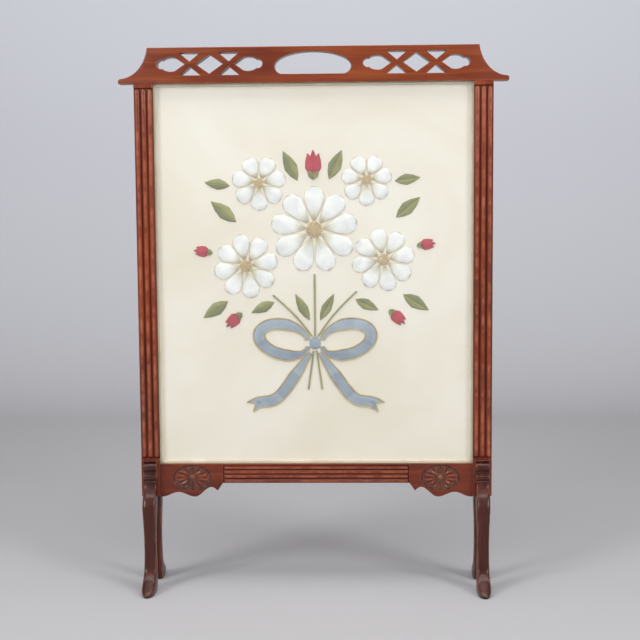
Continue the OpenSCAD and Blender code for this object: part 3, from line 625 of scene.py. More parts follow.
def oval_carving(x, z):
    """Depth and marks at a point of the carved oval, measured from its middle."""
    share = math.hypot(x / OVAL_RX, z / OVAL_RZ)
    wall = ease_between(1.01, 0.93, share)
    if wall <= 0:
        return 0.0, (0, ease_between(1.06, 1.01, share) * 0.5, 0)
    ground = OVAL_SINK * wall * (1 - 0.22 * max(0.0, 1 - share) ** 2)
    rise, painted_shade, wear_and_highlight = 0.0, 0.0, 0.0
    turn = math.atan2(z / OVAL_RZ, x / OVAL_RX) * PETALS / (2 * math.pi)
    for i in (math.floor(turn), math.floor(turn) + 1):
        a = 2 * math.pi * i / PETALS
        tip = Vector(((OVAL_RX - 1.2) * math.cos(a), (OVAL_RZ - 1.2) * math.sin(a)))
        reach = tip.length
        tip.normalize()
        root = BOSS_R + 1.2
        u = (tip.x * x + tip.y * z - root) / (reach - root)
        if not 0 < u < 1:
            continue
        half = (4.1 + 1.5 * abs(math.cos(a))) * math.sin(math.pi * u ** 1.3) ** 0.9
        w = abs(tip.x * z - tip.y * x) / max(half, 0.01)
        if w >= 1:
            continue
        rim = 2.7 * min(1.0, 0.55 + 0.6 * math.sin(math.pi * u))
        scoop = 1.3 * math.sin(math.pi * u) ** 0.7
        fall = ease_between(1.0, 0.72, w)
        height = (rim - scoop * (1 - min(1.0, w / 0.72) ** 2)) * fall
        # Each petal's scoop gets painted shade, and its rims rubbed wear with painted highlight.
        if height > rise:
            rise, painted_shade, wear_and_highlight = height, (1 - w) * 0.35, ease_between(0.45, 0.72, w) * fall
    r = math.hypot(x, z)
    if r < BOSS_R:
        rise, painted_shade, wear_and_highlight = 2.9 * math.sqrt(1 - (r / BOSS_R) ** 2) ** 0.7, 0.1, 0.5
    # The sunk ground and the foot of the oval's wall get painted shade; the ground and the petal rims also get
    # grey dust.
    bare = ease_between(1.2, 0.3, rise)
    wall_shade = bare * ease_between(0.9, 0.98, share)
    mark = (max(painted_shade, 0.5 * bare, wall_shade), wear_and_highlight * wall, bare * wall * 0.8 + wear_and_highlight * 0.45)
    return max(0.0, ground - rise), mark


def rail_face(x, z):
    """Depth below the bottom rail's plain face, and the carving marks there."""
    low = RAIL_TOP - RAIL_H
    bundle = RAIL_H - RAIL_MARGIN
    half = SIGHT_HALF - REED_INSET
    if abs(x) < half + 0.6 and z < low + bundle:
        inside = ease_between(half + 0.5, half - 0.5, abs(x))
        depth = inside * reed_depth(x, z - low, half, RAIL_REEDS, bundle / RAIL_REEDS, RAIL_REED_DEPTH)
        # Reed grooves get painted shade, reed crests rubbed wear with painted highlight.
        deep = depth / RAIL_REED_DEPTH
        return depth, (deep ** 2.5, 0.8 * (1 - deep) ** 6, 0)
    return oval_carving(abs(x) - (SIGHT_HALF - OVAL_MARGIN), z - STILE_FOOT - OVAL_RISE)


def bottom_rail(finish):
    half = SIGHT_HALF - REED_INSET
    oval_x = SIGHT_HALF - OVAL_MARGIN
    spans = [(0, half - 8, 8.0), (half - 8, half + 2, 0.5), (half + 2, oval_x - OVAL_RX - 2, 1.2),
             (oval_x - OVAL_RX - 2, oval_x + OVAL_RX + 2, 0.55), (oval_x + OVAL_RX + 2, SIGHT_HALF, 1.4)]
    right = []
    for a, b, step in spans:
        right += list(np.linspace(a, b, max(2, round((b - a) / step)), endpoint=False))
    right += [TOOTH_X, half + 1, SIGHT_HALF]
    columns = sorted({round(v, 3) for x in right for v in (x, -x)})
    low_steps, high_steps, rows = [0, 0.12, 0.4, 0.8, 1.3], [1.0, 0.5, 0.15, 0], 104
    shell = Shell()
    rings = []
    for x in columns:
        z0 = apron_edge(x)
        inner = np.linspace(z0 + low_steps[-1], RAIL_TOP - high_steps[0], rows)[1:-1]
        levels = [z0 + d for d in low_steps] + list(inner) + [RAIL_TOP - d for d in high_steps]
        front, marks = [], []
        for z in levels:
            depth, mark = rail_face(x, z)
            eased = max(arris(z - z0, 1.3), arris(RAIL_TOP - z, 1.0))
            # Eased arrises get rubbed wear with painted highlight.
            arris_wear_and_highlight = 0.5 if 0 < eased < 0.9 else 0
            front.append((x, RAIL_Y + depth + eased, z))
            marks.append((mark[0], max(mark[1], arris_wear_and_highlight), mark[2]))
        seat = RAIL_TOP - REBATE_W
        back = [(x, GLASS_Y, RAIL_TOP), (x, GLASS_Y, seat), (x, BACK_Y, seat)]
        back += [(x, BACK_Y, z0 + 1.2), (x, BACK_Y - 0.35, z0 + 0.35), (x, BACK_Y - 1.2, z0)]
        rings.append(shell.ring(front + back, marks + [(0, 0, 0)] * len(back)))
    shell.loft(rings)
    shell.fill([rings[0]], (1, 2))
    shell.fill([rings[-1]], (1, 2))
    show(shell.mesh("bottom_rail_wood"), "bottom_rail_wood", finish, ["bottom_rail"])


# Each station of a leg: how far out its outer and inner points stand from the stile's face,
# with their heights, and its half width
KNEE_Z = STILE_FOOT - 19
SHANK_OUT = SHANK_GAP + SHANK_D
BLOCK_LOW = STILE_FOOT + BLOCK_RISE - SCROLL_H
STATIONS = [np.array(row, float) for row in [
    (10.5, BLOCK_LOW, 0, BLOCK_LOW, BLOCK_W / 2 - 1.2),
    (12.5, STILE_FOOT + 18, 0, STILE_FOOT + 18, BLOCK_W / 2 - 0.8),
    (18.5, STILE_FOOT + 9, 0, STILE_FOOT + 9, BLOCK_W / 2 - 0.2),
    (25.5, STILE_FOOT, 0, STILE_FOOT, BLOCK_W / 2),
    (KNEE_REACH - 1.5, KNEE_Z + 9, 1.8, KNEE_Z + 7, BLOCK_W / 2),
    (KNEE_REACH, KNEE_Z, 4.5, KNEE_Z - 4, BLOCK_W / 2 - 0.1),
    (KNEE_REACH - 1.4, KNEE_Z - 14, 7, KNEE_Z - 17, BLOCK_W / 2 - 0.7),
    (SHANK_OUT + 2, 108, SHANK_GAP, 106, SHANK_W / 2 + 0.3),
    (SHANK_OUT + 0.3, 86, SHANK_GAP, 85, SHANK_W / 2),
    (SHANK_OUT, 64, SHANK_GAP, 63, SHANK_W / 2),
    (SHANK_OUT + 1.5, 46, SHANK_GAP, 43, SHANK_W / 2 + 0.4),
    (SHANK_OUT + 5, 35, SHANK_GAP, 27, FOOT_W / 2 - 0.8),
    (TOE_REACH - 32, 26.5, SHANK_GAP + 1.5, 12, FOOT_W / 2 - 0.3),
    (TOE_REACH - 22, 19.5, SHANK_GAP + 8, 1, FOOT_W / 2),
    (TOE_REACH - 13, 13.5, TOE_REACH - 38, -1.5, FOOT_W / 2 - 0.4),
    (TOE_REACH - 6, 9, TOE_REACH - 22, -2.5, FOOT_W / 2 - 2.2),
    (TOE_REACH - 1.5, 5.5, TOE_REACH - 11, -2.5, FOOT_W / 2 - 5.5),
    (TOE_REACH, 2.5, TOE_REACH - 4, -2, 2.4),
]]
CUFF_TOP = 33
CUFF_FALL = 20


def leg_ring(u, sides):
    """Points and marks of a leg's section at a station, rounded like a square with softened corners."""
    out0, z0, out1, z1, half = through(STATIONS, u)
    points, marks = [], []
    for k in range(sides):
        a = 2 * math.pi * (k + 0.5) / sides
        c, s = math.cos(a), math.sin(a)
        power = 0.42
        x = half * math.copysign(abs(c) ** power, c)
        lean = math.copysign(abs(s) ** power, s)
        out = (out0 + out1) / 2 + (out0 - out1) / 2 * lean
        z = (z0 + z1) / 2 + (z0 - z1) / 2 * lean
        facing = max(0.0, s) ** 0.3 * ease_between(9.5, 11, u)
        cuff = CUFF_TOP - CUFF_FALL * (x / (FOOT_W / 2)) ** 2
        below = ease_between(cuff + 0.6, cuff - 0.9, z) * facing
        ridge = 1.2 * max(0.0, 1 - abs(x) / 6) * below
        out -= 1.3 * below - ridge
        # Below the cuff the sunk toe gets painted shade; the rounded corners and the cuff's lip get rubbed wear
        # with painted highlight.
        corner = ease_between(0.55, 0.75, abs(c)) * ease_between(0.55, 0.75, abs(s) + 0.12)
        lip = facing * max(0.0, 1 - abs(z - cuff) / 1.5)
        points.append((x, out, max(0.0, z)))
        marks.append((0.5 * below * (1 - ridge), min(1.0, 0.6 * corner + 0.8 * lip), 0))
    return points, marks


def scroll_profile():
    """The leg's head in section: a fillet, a roll, a cove, a fillet, a groove and a fillet."""
    top = STILE_FOOT + BLOCK_RISE
    profile = [(0, top), (7.6, top), (8, top - 0.4), (8, top - 1.8), (7.6, top - 2.2), (6.6, top - 2.9)]
    profile += [(6.2, top - 4.6)]
    profile += [(6 + 7.2 * math.cos(a), top - 11.8 + 7.2 * math.sin(a)) for a in np.linspace(1.45, -1.35, 26)]
    profile += [(6.2, top - 19.4)]
    sweep = np.linspace(0.08, math.pi / 2, 16)
    profile += [(6 + 5.5 * (1 - math.cos(a)), top - 19.4 - 10.4 * math.sin(a)) for a in sweep]
    profile += [(11.8, top - 30.3), (11.8, top - 31.8), (11.4, top - 32.4), (8.5, top - 32.7)]
    profile += [(8.5, top - 35.2), (11.3, top - 35.5), (11.7, top - 36)]
    profile += [(11.5, top - SCROLL_H), (0, top - SCROLL_H)]
    return profile


def leg(name, side, facing, finish, node):
    sides, steps = 44, 7
    shell = Shell()
    rings = []
    for i in range((len(STATIONS) - 1) * steps + 1):
        points, marks = leg_ring(i / steps, sides)
        rings.append(shell.ring([(STILE_X + x, FACE_Y - out, z) for x, out, z in points], marks))
    shell.loft(rings)
    shell.fill([rings[0]], (0, 1))
    shell.fill([rings[-1]], (0, 1))
    profile = scroll_profile()
    slices = []
    for share in (-1, -0.985, -0.95, -0.9, 0.9, 0.95, 0.985, 1):
        dip = arris(BLOCK_W / 2 * (1 - abs(share)), 1.2)
        body = [(max(0.0, out - dip if out > 1 else out), z) for out, z in profile]
        # The groove gets painted shade, and the block's rounded side arrises rubbed wear with painted highlight.
        groove_shade_edge_highlight = [(0.9 if 8.4 < out < 8.6 else 0.0, 0.7 * (dip > 0.05), 0) for out, z in profile]
        x = STILE_X + share * BLOCK_W / 2
        slices.append(shell.ring([(x, FACE_Y - out, z) for out, z in body], groove_shade_edge_highlight))
    shell.loft(slices)
    shell.fill([slices[0]], (1, 2))
    shell.fill([slices[-1]], (1, 2))
    show(shell.mesh(name, (side, facing), 42), name, finish, [node])


def mitred_strip(name, section, side, finish, node):
    """A bar of a mitred frame. Its section is given as (distance in from the edge, y)."""
    turned = side % 2 == 1
    long, high = (PANEL_HALF_H, PANEL_HALF_W) if turned else (PANEL_HALF_W, PANEL_HALF_H)
    shell = Shell()
    rings = []
    for end in (-1, 1):
        flat = [(end * (long - d), y, high - d) for d, y in section]
        angle = math.radians(90 * side)
        c, s = math.cos(angle), math.sin(angle)
        rings.append(shell.ring([(x * c + z * s, y, z * c - x * s + MID_Z) for x, y, z in flat]))
    shell.loft(rings)
    for ring in rings:
        for a, b, c in tessellate_polygon([[Vector((d, y, 0)) for d, y in section]]):
            shell.faces.append((ring[a], ring[b], ring[c]))
            shell.flat.append(True)
    show(shell.mesh(name), name, finish, [node])


def slips_and_beads(slip_finish, bead_finish):
    names = ["top", "right", "bottom", "left"]
    width = slip_hi.z - slip_lo.z
    y0, y1 = slip_lo.y, slip_hi.y
    slip = [(0.05, y0), (width - 2.2, y0)]
    turn = np.linspace(0.3, math.pi / 2, 6)
    slip += [(width - 2.2 + 2.2 * math.sin(a), y0 + 2.2 - 2.2 * math.cos(a)) for a in turn]
    slip += [(width, y1), (0.05, y1)]
    thick = bead_hi.z - bead_lo.z
    bead = [(0.1, bead_lo.y), (thick - 0.1, bead_lo.y), (thick - 0.1, bead_hi.y - 1.2)]
    bead += [(thick - 0.5, bead_hi.y - 0.4), (thick - 1.2, bead_hi.y)]
    bead += [(0.5, bead_hi.y), (0.1, bead_hi.y - 0.4)]
    for side, place in enumerate(names):
        mitred_strip("slip_strip_" + place, slip, side, slip_finish, "slip_" + place)
        mitred_strip("bead_strip_" + place, bead, side, bead_finish, "back_bead_" + place)


# The silk, stretched over its strainer
TURN_IN = 16
SILK_T = 0.4


def silk_panel(finish):
    half_w, half_h = PANEL_HALF_W - SILK_T / 2, PANEL_HALF_H - SILK_T / 2
    front_y = SILK_Y + SILK_T / 2
    back_y = silk_hi.y - SILK_T / 2
    xs, zs = np.linspace(-half_w, half_w, 91), np.linspace(-half_h, half_h, 111)
    shell = Shell()
    rows = []
    for z in zs:
        line = []
        for x in xs:
            slack = math.cos(math.pi * x / (2 * half_w)) * math.cos(math.pi * z / (2 * half_h))
            ripple = 0.16 * slack * math.sin(x / 37 + 1.3 * math.sin(z / 61)) * math.sin(z / 83 + x / 119)
            line.append((x, front_y + ripple, MID_Z + z))
        rows.append(shell.ring(line, places=[(x * MM, z * MM) for x in xs]))
    shell.loft(rows, closed=False)
    border = rows[0][:-1] + [r[-1] for r in rows[:-1]] + rows[-1][:0:-1] + [r[0] for r in rows[:0:-1]]
    flat = [shell.points[i] for i in border]
    wraps = [border]
    for y, inset in ((front_y + 1, 0), (back_y - 1, 0), (back_y, 0.6), (back_y, TURN_IN)):
        ring = []
        for x, old_y, z in flat:
            up = z - MID_Z
            across = max(-half_w + inset, min(half_w - inset, x))
            ring.append((across, y, MID_Z + max(-half_h + inset, min(half_h - inset, up))))
        wraps.append(shell.ring(ring, places=[(p[0] * MM, (p[2] - MID_Z) * MM + y * MM) for p in ring]))
    shell.loft(wraps)
    piece = show(shell.mesh("silk_panel"), "silk_panel", finish, ["silk_ground"])
    thick = piece.modifiers.new("thickness", "SOLIDIFY")
    thick.thickness = SILK_T * MM
    thick.offset = 0
    settle(piece)
    return piece


# Needlework. The design is drawn in millimetres about the middle of the panel.
# Flowers: place across and up, outer radius, centre radius, number of petals
FLOWERS = [
    (0, 78, 74, 15, 9), (-118, 16, 55, 11, 8), (118, 26, 54, 11, 8),
    (-94, 158, 46, 9, 7), (90, 162, 43, 9, 7),
]
# Leaves and buds: place of the root across and up, direction, length, width
LEAVES = [
    (-28, 162, 116, 56, 24), (26, 164, 66, 54, 24), (-134, 92, 140, 56, 25), (140, 98, 40, 54, 24),
    (-150, -44, 214, 52, 24), (152, -34, 328, 52, 24), (-70, -46, 205, 44, 20), (70, -42, 335, 44, 20),
    (-9, -78, 118, 52, 18), (9, -78, 62, 52, 18), (-144, 154, 172, 44, 20), (138, 160, 8, 44, 20),
]
BUDS = [
    (-1, 166, 90, 48, 30), (-178, 40, 172, 30, 22), (178, 50, 8, 30, 22),
    (-128, -66, 222, 34, 24), (130, -62, 318, 34, 24),
]
# Stems: the two ends, and how far the middle bows
STEMS = [
    ((0, -106), (0, 2), 0), ((-5, -106), (-72, -34), 5), ((5, -106), (72, -28), -5),
    ((-2.6, -130.5), (-12, -198), 0), ((2.6, -130.5), (12, -198), 0),
]
TIE = -118
RIBBON_W = 22
CORD_W = 2
PETAL_RISE = 4
LEAF_RISE = 2.6
RIBBON_T = 1.4
PETAL_FORM = [(0, 0.12), (0.12, 0.32), (0.4, 0.74), (0.7, 1.0), (0.9, 0.76), (0.97, 0.45), (1, 0.12)]
LEAF_FORM = [(0, 0.04), (0.2, 0.64), (0.45, 1.0), (0.72, 0.68), (0.9, 0.27), (1, 0.03)]


def width_at(form, u):
    """Half width along a petal or leaf, as a share of its widest, eased between the given points."""
    us, ws = zip(*form)
    fine = np.linspace(0, 1, 81)
    kernel = np.array([1, 3, 5, 3, 1]) / 13
    smooth = np.convolve(np.pad(np.interp(fine, us, ws), 2, mode="edge"), kernel, "valid")
    return float(np.interp(u, fine, smooth))


def on_work(x, up, height):
    """A point of the design, raised above the silk."""
    return (x, SILK_Y - height, MID_Z + up)


def stitched_pad(shell, root, direction, start, length, half, form, rise, lay, pitch,
                 rows, columns, shade, rng):
    """One padded shape covered in laid threads, which run along it or slant from its middle."""
    c, s = math.cos(math.radians(direction)), math.sin(math.radians(direction))
    lift = rng.uniform(0.9, 1.05)
    rings = []
    for i in range(rows + 1):
        u = i / rows
        width = half * width_at(form, u)
        end = min(1.0, 1.25 * math.sin(math.pi * min(1.0, max(0.0, 0.04 + 0.92 * u))) ** 0.6)
        line, marks, places = [], [], []
        for j in range(columns + 1):
            v = 2 * j / columns - 1
            crown = max(0.0, 1 - abs(v) ** 2.3) ** 0.6 * end * lift
            gone, across = start + length * u, width * v
            if lay == "along":
                count = v * half / pitch
                ragged = 0.6 * math.sin(17.1 * round(count) + direction) * ease_between(0.75, 1, u)
                gone += ragged
                thread = math.cos(2 * math.pi * count)
                place = (u * length * MM, count * pitch * MM)
                tint = shade(u, v, round(count))
            else:
                count = (gone - 0.75 * abs(across)) / pitch
                thread = math.cos(2 * math.pi * count)
                place = (abs(across) * MM, count * pitch * MM)
                crown *= 1 - 0.45 * max(0.0, 1 - abs(across) / 1.3)
                tint = shade(u, v, round(count))
            height = rise * 0.92 * crown + 0.16 * thread * min(1.0, 3 * crown)
            if i in (0, rows) or j in (0, columns):
                height = -0.12
            line.append(on_work(root[0] + c * gone - s * across, root[1] + s * gone + c * across, height))
            marks.append((tint, 0, 0))
            places.append(place)
        rings.append(shell.ring(line, marks, places))
    shell.loft(rings, closed=False)
    border = rings[0][:-1] + [r[-1] for r in rings[:-1]] + rings[-1][:0:-1] + [r[0] for r in rings[:0:-1]]
    shell.fill([border])
    return [shell.points[k] for k in border]


def flower_petals(finish):
    shell = Shell()
    rng = np.random.default_rng(11)
    outlines = []
    for x, up, reach, centre, count in FLOWERS:
        first, length = centre + 1, reach - centre - 1
        half = (first + length * 0.68) * math.tan(math.pi / count) * 0.9
        for i in range(count):
            def shade(u, v, k):
                return 0.75 * ease_between(0.42 + 0.12 * math.sin(5.3 * k + i), 0.02, u) + 0.1 * abs(v) ** 3
            columns = 4 * round(2 * half / 1.15) // 2
            direction = 360 * (i + 0.25) / count
            outlines.append(stitched_pad(shell, (x, up), direction, first, length, half, PETAL_FORM,
                                         PETAL_RISE, "along", 1.15, 22, columns, shade, rng))
    show(shell.mesh("padded_petals"), "padded_petals", finish, ["flower_petals"])
    return outlines


def leaves_and_buds(leaf_finish, bud_finish):
    rng = np.random.default_rng(5)
    shell = Shell()

    def two_tone(u, v, k):
        return 0.15 + 0.12 * math.sin(2.1 * k) + (0.55 if v > 0 else 0.0)

    for x, up, direction, length, width in LEAVES:
        stitched_pad(shell, (x, up), direction, 0, length, width / 2, LEAF_FORM, LEAF_RISE, "slant", 1.1,
                     int(length * 2.7), 14, two_tone, rng)
    for x, up, direction, length, width in BUDS:
        for spread in (-34, 0, 34):
            stitched_pad(shell, (x, up), direction + spread, -3, length * 0.42, width * 0.17, LEAF_FORM,
                         LEAF_RISE * 1.5, "slant", 1.1, 34, 8, two_tone, rng)
    show(shell.mesh("slanted_leaves"), "slanted_leaves", leaf_finish, ["worked_leaves"])
    buds = Shell()

    def deepen(u, v, k):
        return 0.7 * ease_between(0.5, 0.0, u) + 0.12 * math.sin(3.7 * k)

    for x, up, direction, length, width in BUDS:
        for spread, share, wide in ((-13, 0.9, 0.33), (13, 0.9, 0.33), (0, 1.0, 0.3)):
            rise = PETAL_RISE * (1.0 if spread == 0 else 0.72)
            stitched_pad(buds, (x, up), direction + spread, 1, length * share - 1, width * wide, LEAF_FORM,
                         rise, "along", 1.0, 20, 36, deepen, rng)
    show(buds.mesh("crimson_buds"), "crimson_buds", bud_finish, ["rose_buds"])


def widening(strand, t):
    return strand + (RIBBON_W - strand) * min(1, t)


def loop_line(step=1.6):
    """Middle line of one loop of the bow: across, up, width."""
    line = []
    for a in np.arange(-180, 180.01, step):
        f = (1 + math.cos(math.radians(a))) / 2
        up = TIE + 14 * f + 24 * math.sin(math.radians(a)) + 5 * a / 180
        line.append((13 + 84 * f, up, widening(8, 2.5 * f)))
    return line


def tail_line(steps=200):
    line = []
    for t in np.linspace(0, 1, steps + 1):
        up = TIE - 15 - 96 * t * (2 - t) + 7 * math.sin(3 * math.pi * t) * t
        line.append((9 + 105 * t, up, widening(8, 4 * t)))
    return line


def beside(line, i, share):
    """A point beside the middle line, at a share of the width there."""
    a, b = line[max(i - 1, 0)], line[min(i + 1, len(line) - 1)]
    along_it = Vector((b[0] - a[0], b[1] - a[1])).normalized()
    return Vector(line[i][:2]) + Vector((-along_it.y, along_it.x)) * line[i][2] * share


def ribbon_band(shell, line, notch, side, flipped):
    pitch, columns = 0.95, 10
    gone = [0.0]
    for a, b in zip(line, line[1:]):
        gone.append(gone[-1] + math.dist(a[:2], b[:2]))
    rows = int(gone[-1] / pitch * 3.4)
    rings = []
    for r in range(rows + 1):
        far = gone[-1] * r / rows
        place = float(np.interp(far, gone, range(len(gone))))
        i = min(int(place), len(line) - 2)
        part = place - i
        line_marks, points, places = [], [], []
        for j in range(columns + 1):
            v = 2 * j / columns - 1
            share = v * (0.5 - 0.75 * CORD_W / RIBBON_W)
            p = beside(line, i, share).lerp(beside(line, i + 1, share), part)
            if notch:
                back = ease_between(gone[-1] - 2.2 * notch, gone[-1], far) * notch * (1 - abs(v))
                q = Vector(line[-1][:2]) - Vector(line[-3][:2])
                p -= q.normalized() * back
            fold = 0.25 * math.sin(far / 14) + 0.2 * math.sin(far / 5.3 + 3 * v)
            crown = max(0.0, 1 - v * v) ** 0.4
            weave = 0.13 * math.cos(2 * math.pi * far / pitch)
            height = (RIBBON_T * 0.75 + 0.3 * fold) * crown + weave * crown
            if r in (0, rows) or j in (0, columns):
                height = -0.12
            points.append(on_work(side * p.x, p.y, height))
            light = 0.5 + 0.5 * math.sin(far / 14)
            line_marks.append(((0.5 if flipped(far / gone[-1]) else 0.12) + 0.3 * light * (1 - abs(v)), 0, 0))
            places.append((share * line[i][2] * MM, far * MM))
        rings.append(shell.ring(points, line_marks, places))
    shell.loft(rings, closed=False)
    border = rings[0][:-1] + [r[-1] for r in rings[:-1]] + rings[-1][:0:-1] + [r[0] for r in rings[:0:-1]]
    shell.fill([border])


def ribbon_bow(finish):
    shell = Shell()
    rng = np.random.default_rng(3)
    for side in (-1, 1):
        ribbon_band(shell, loop_line(), 0, side, lambda t: t < 0.45)
        ribbon_band(shell, tail_line(), 12, side, lambda t: 0.3 < t < 0.62)
    oval = [(0, 0.3), (0.1, 0.62), (0.3, 0.92), (0.5, 1.0), (0.7, 0.92), (0.9, 0.62), (1, 0.3)]

    def pleats(u, v, k):
        return 0.15 + 0.3 * abs(math.sin(1.9 * k))

    stitched_pad(shell, (0, TIE), 90, -10.5, 21, 10, oval, PETAL_RISE, "along", 1.3, 24, 60, pleats, rng)
    show(shell.mesh("grey_blue_bow"), "grey_blue_bow", finish, ["ribbon_bow"])


# Cords and knots are grown by node trees
class Tree:
    """A geometry node tree with named inputs."""

    def __init__(self, name, numbers, material):
        self.group = bpy.data.node_groups.new(name, "GeometryNodeTree")
        self.group.interface.new_socket("Geometry", in_out="INPUT", socket_type="NodeSocketGeometry")
        for label, default in numbers.items():
            kind = "NodeSocketInt" if isinstance(default, int) else "NodeSocketFloat"
            self.group.interface.new_socket(label, in_out="INPUT", socket_type=kind).default_value = default
        self.group.interface.new_socket("Geometry", in_out="OUTPUT", socket_type="NodeSocketGeometry")
        self.inlet = self.node("NodeGroupInput").outputs
        self.material = material

    def node(self, kind, inputs=(), **settings):
        made = self.group.nodes.new(kind)
        for key, value in settings.items():
            setattr(made, key, value)
        for key, value in dict(inputs).items():
            if isinstance(value, bpy.types.NodeSocket):
                self.group.links.new(value, made.inputs[key])
            else:
                made.inputs[key].default_value = value
        return made

    def math(self, way, a, b):
        return self.node("ShaderNodeMath", {0: a, 1: b}, operation=way).outputs[0]

    def finish(self, geometry):
        real = self.node("GeometryNodeRealizeInstances", {0: geometry}).outputs[0]
        smooth = self.node("GeometryNodeSetShadeSmooth", {"Geometry": real}).outputs[0]
        painted = self.node("GeometryNodeSetMaterial", {0: smooth, "Material": self.material}).outputs[0]
        self.group.links.new(painted, self.node("NodeGroupOutput").inputs[0])
        return self


def cord_tree(name, material):
    """A plied cord laid along a line: a star-shaped section that turns as it goes."""
    tree = Tree(name, {"Width": 0.002, "Step": 0.0007, "Turns per metre": 300.0, "Plies": 3}, material)
    lines = tree.node("GeometryNodeMeshToCurve", {0: tree.inlet["Geometry"]}).outputs[0]
    spacing = {"Curve": lines, "Length": tree.inlet["Step"]}
    even = tree.node("GeometryNodeResampleCurve", spacing, mode="LENGTH")
    gone = tree.node("GeometryNodeSplineParameter").outputs["Length"]
    tilt = tree.math("MULTIPLY", tree.math("MULTIPLY", gone, tree.inlet["Turns per metre"]), 2 * math.pi)
    turned = tree.node("GeometryNodeSetCurveTilt", {"Curve": even.outputs[0], "Tilt": tilt}).outputs[0]
    outer = tree.math("MULTIPLY", tree.inlet["Width"], 0.54)
    inner = tree.math("MULTIPLY", tree.inlet["Width"], 0.34)
    section = tree.node("GeometryNodeCurveStar", {
        "Points": tree.inlet["Plies"], "Inner Radius": inner, "Outer Radius": outer})
    swept = tree.node("GeometryNodeCurveToMesh", {
        "Curve": turned, "Profile Curve": section.outputs[0], "Fill Caps": True})
    return tree.finish(swept.outputs[0])


def knot_tree(name, material):
    """Knots crowded on a dome, each a small ball with its own turn and size."""
    tree = Tree(name, {"Radius": 0.01, "Rise": 0.003, "Knot": 0.0019, "Seed": 1}, material)
    round_edge = {"Vertices": 48, "Radius": tree.inlet["Radius"]}
    disc = tree.node("GeometryNodeMeshCircle", round_edge, fill_type="NGON")
    spots = tree.node("GeometryNodeDistributePointsOnFaces", {
        "Mesh": disc.outputs[0], "Distance Min": tree.math("MULTIPLY", tree.inlet["Knot"], 0.78),
        "Density Max": 900000.0, "Seed": tree.inlet["Seed"]}, distribute_method="POISSON")
    place = tree.node("GeometryNodeInputPosition").outputs[0]
    off = tree.node("ShaderNodeVectorMath", {0: place}, operation="LENGTH").outputs["Value"]
    share = tree.math("DIVIDE", off, tree.inlet["Radius"])
    fall = tree.math("SUBTRACT", 1.0, tree.math("MULTIPLY", share, share))
    dome = tree.math("MULTIPLY", fall, tree.inlet["Rise"])
    lift = tree.node("ShaderNodeCombineXYZ", {2: dome}).outputs[0]
    raised = tree.node("GeometryNodeSetPosition", {"Geometry": spots.outputs[0], "Offset": lift}).outputs[0]
    half = tree.math("MULTIPLY", tree.inlet["Knot"], 0.5)
    ball = tree.node("GeometryNodeMeshIcoSphere", {"Radius": half, "Subdivisions": 2})
    seed = tree.inlet["Seed"]
    any_way = {"Max": (6.3, 6.3, 6.3), "Seed": seed}
    turn = tree.node("FunctionNodeRandomValue", any_way, data_type="FLOAT_VECTOR")
    size = tree.node("FunctionNodeRandomValue", {2: 0.82, 3: 1.12, "Seed": seed}, data_type="FLOAT")
    knots = tree.node("GeometryNodeInstanceOnPoints", {
        "Points": raised, "Instance": ball.outputs[0], "Rotation": turn.outputs[0], "Scale": size.outputs[1]})
    return tree.finish(knots.outputs[0])


def grow(tree, lines, name, **numbers):
    """Runs a tree on a set of point rows, in millimetres, and returns the plain mesh."""
    points, edges = [], []
    for row in lines:
        first = len(points)
        points += [tuple(v * MM for v in p) for p in row]
        edges += [(k, k + 1) for k in range(first, len(points) - 1)]
    mesh = bpy.data.meshes.new(name)
    mesh.from_pydata(points, edges, [])
    grower = bpy.data.objects.new(name, mesh)
    bpy.context.scene.collection.objects.link(grower)
    modifier = grower.modifiers.new("grow", "NODES")
    modifier.node_group = tree.group
    for item in tree.group.interface.items_tree:
        label = item.name.lower().replace(" ", "_")
        if item.in_out == "INPUT" and label in numbers:
            modifier[item.identifier] = numbers[label]
    graph = bpy.context.evaluated_depsgraph_get()
    made = bpy.data.meshes.new_from_object(grower.evaluated_get(graph))
    bpy.data.objects.remove(grower)
    return made


def join_meshes(name, meshes):
    """One mesh out of several that wear the same finish."""
    together = bmesh.new()
    for mesh in meshes:
        together.from_mesh(mesh)
    bmesh.ops.recalc_face_normals(together, faces=together.faces)
    joined = bpy.data.meshes.new(name)
    together.to_mesh(joined)
    together.free()
    return joined


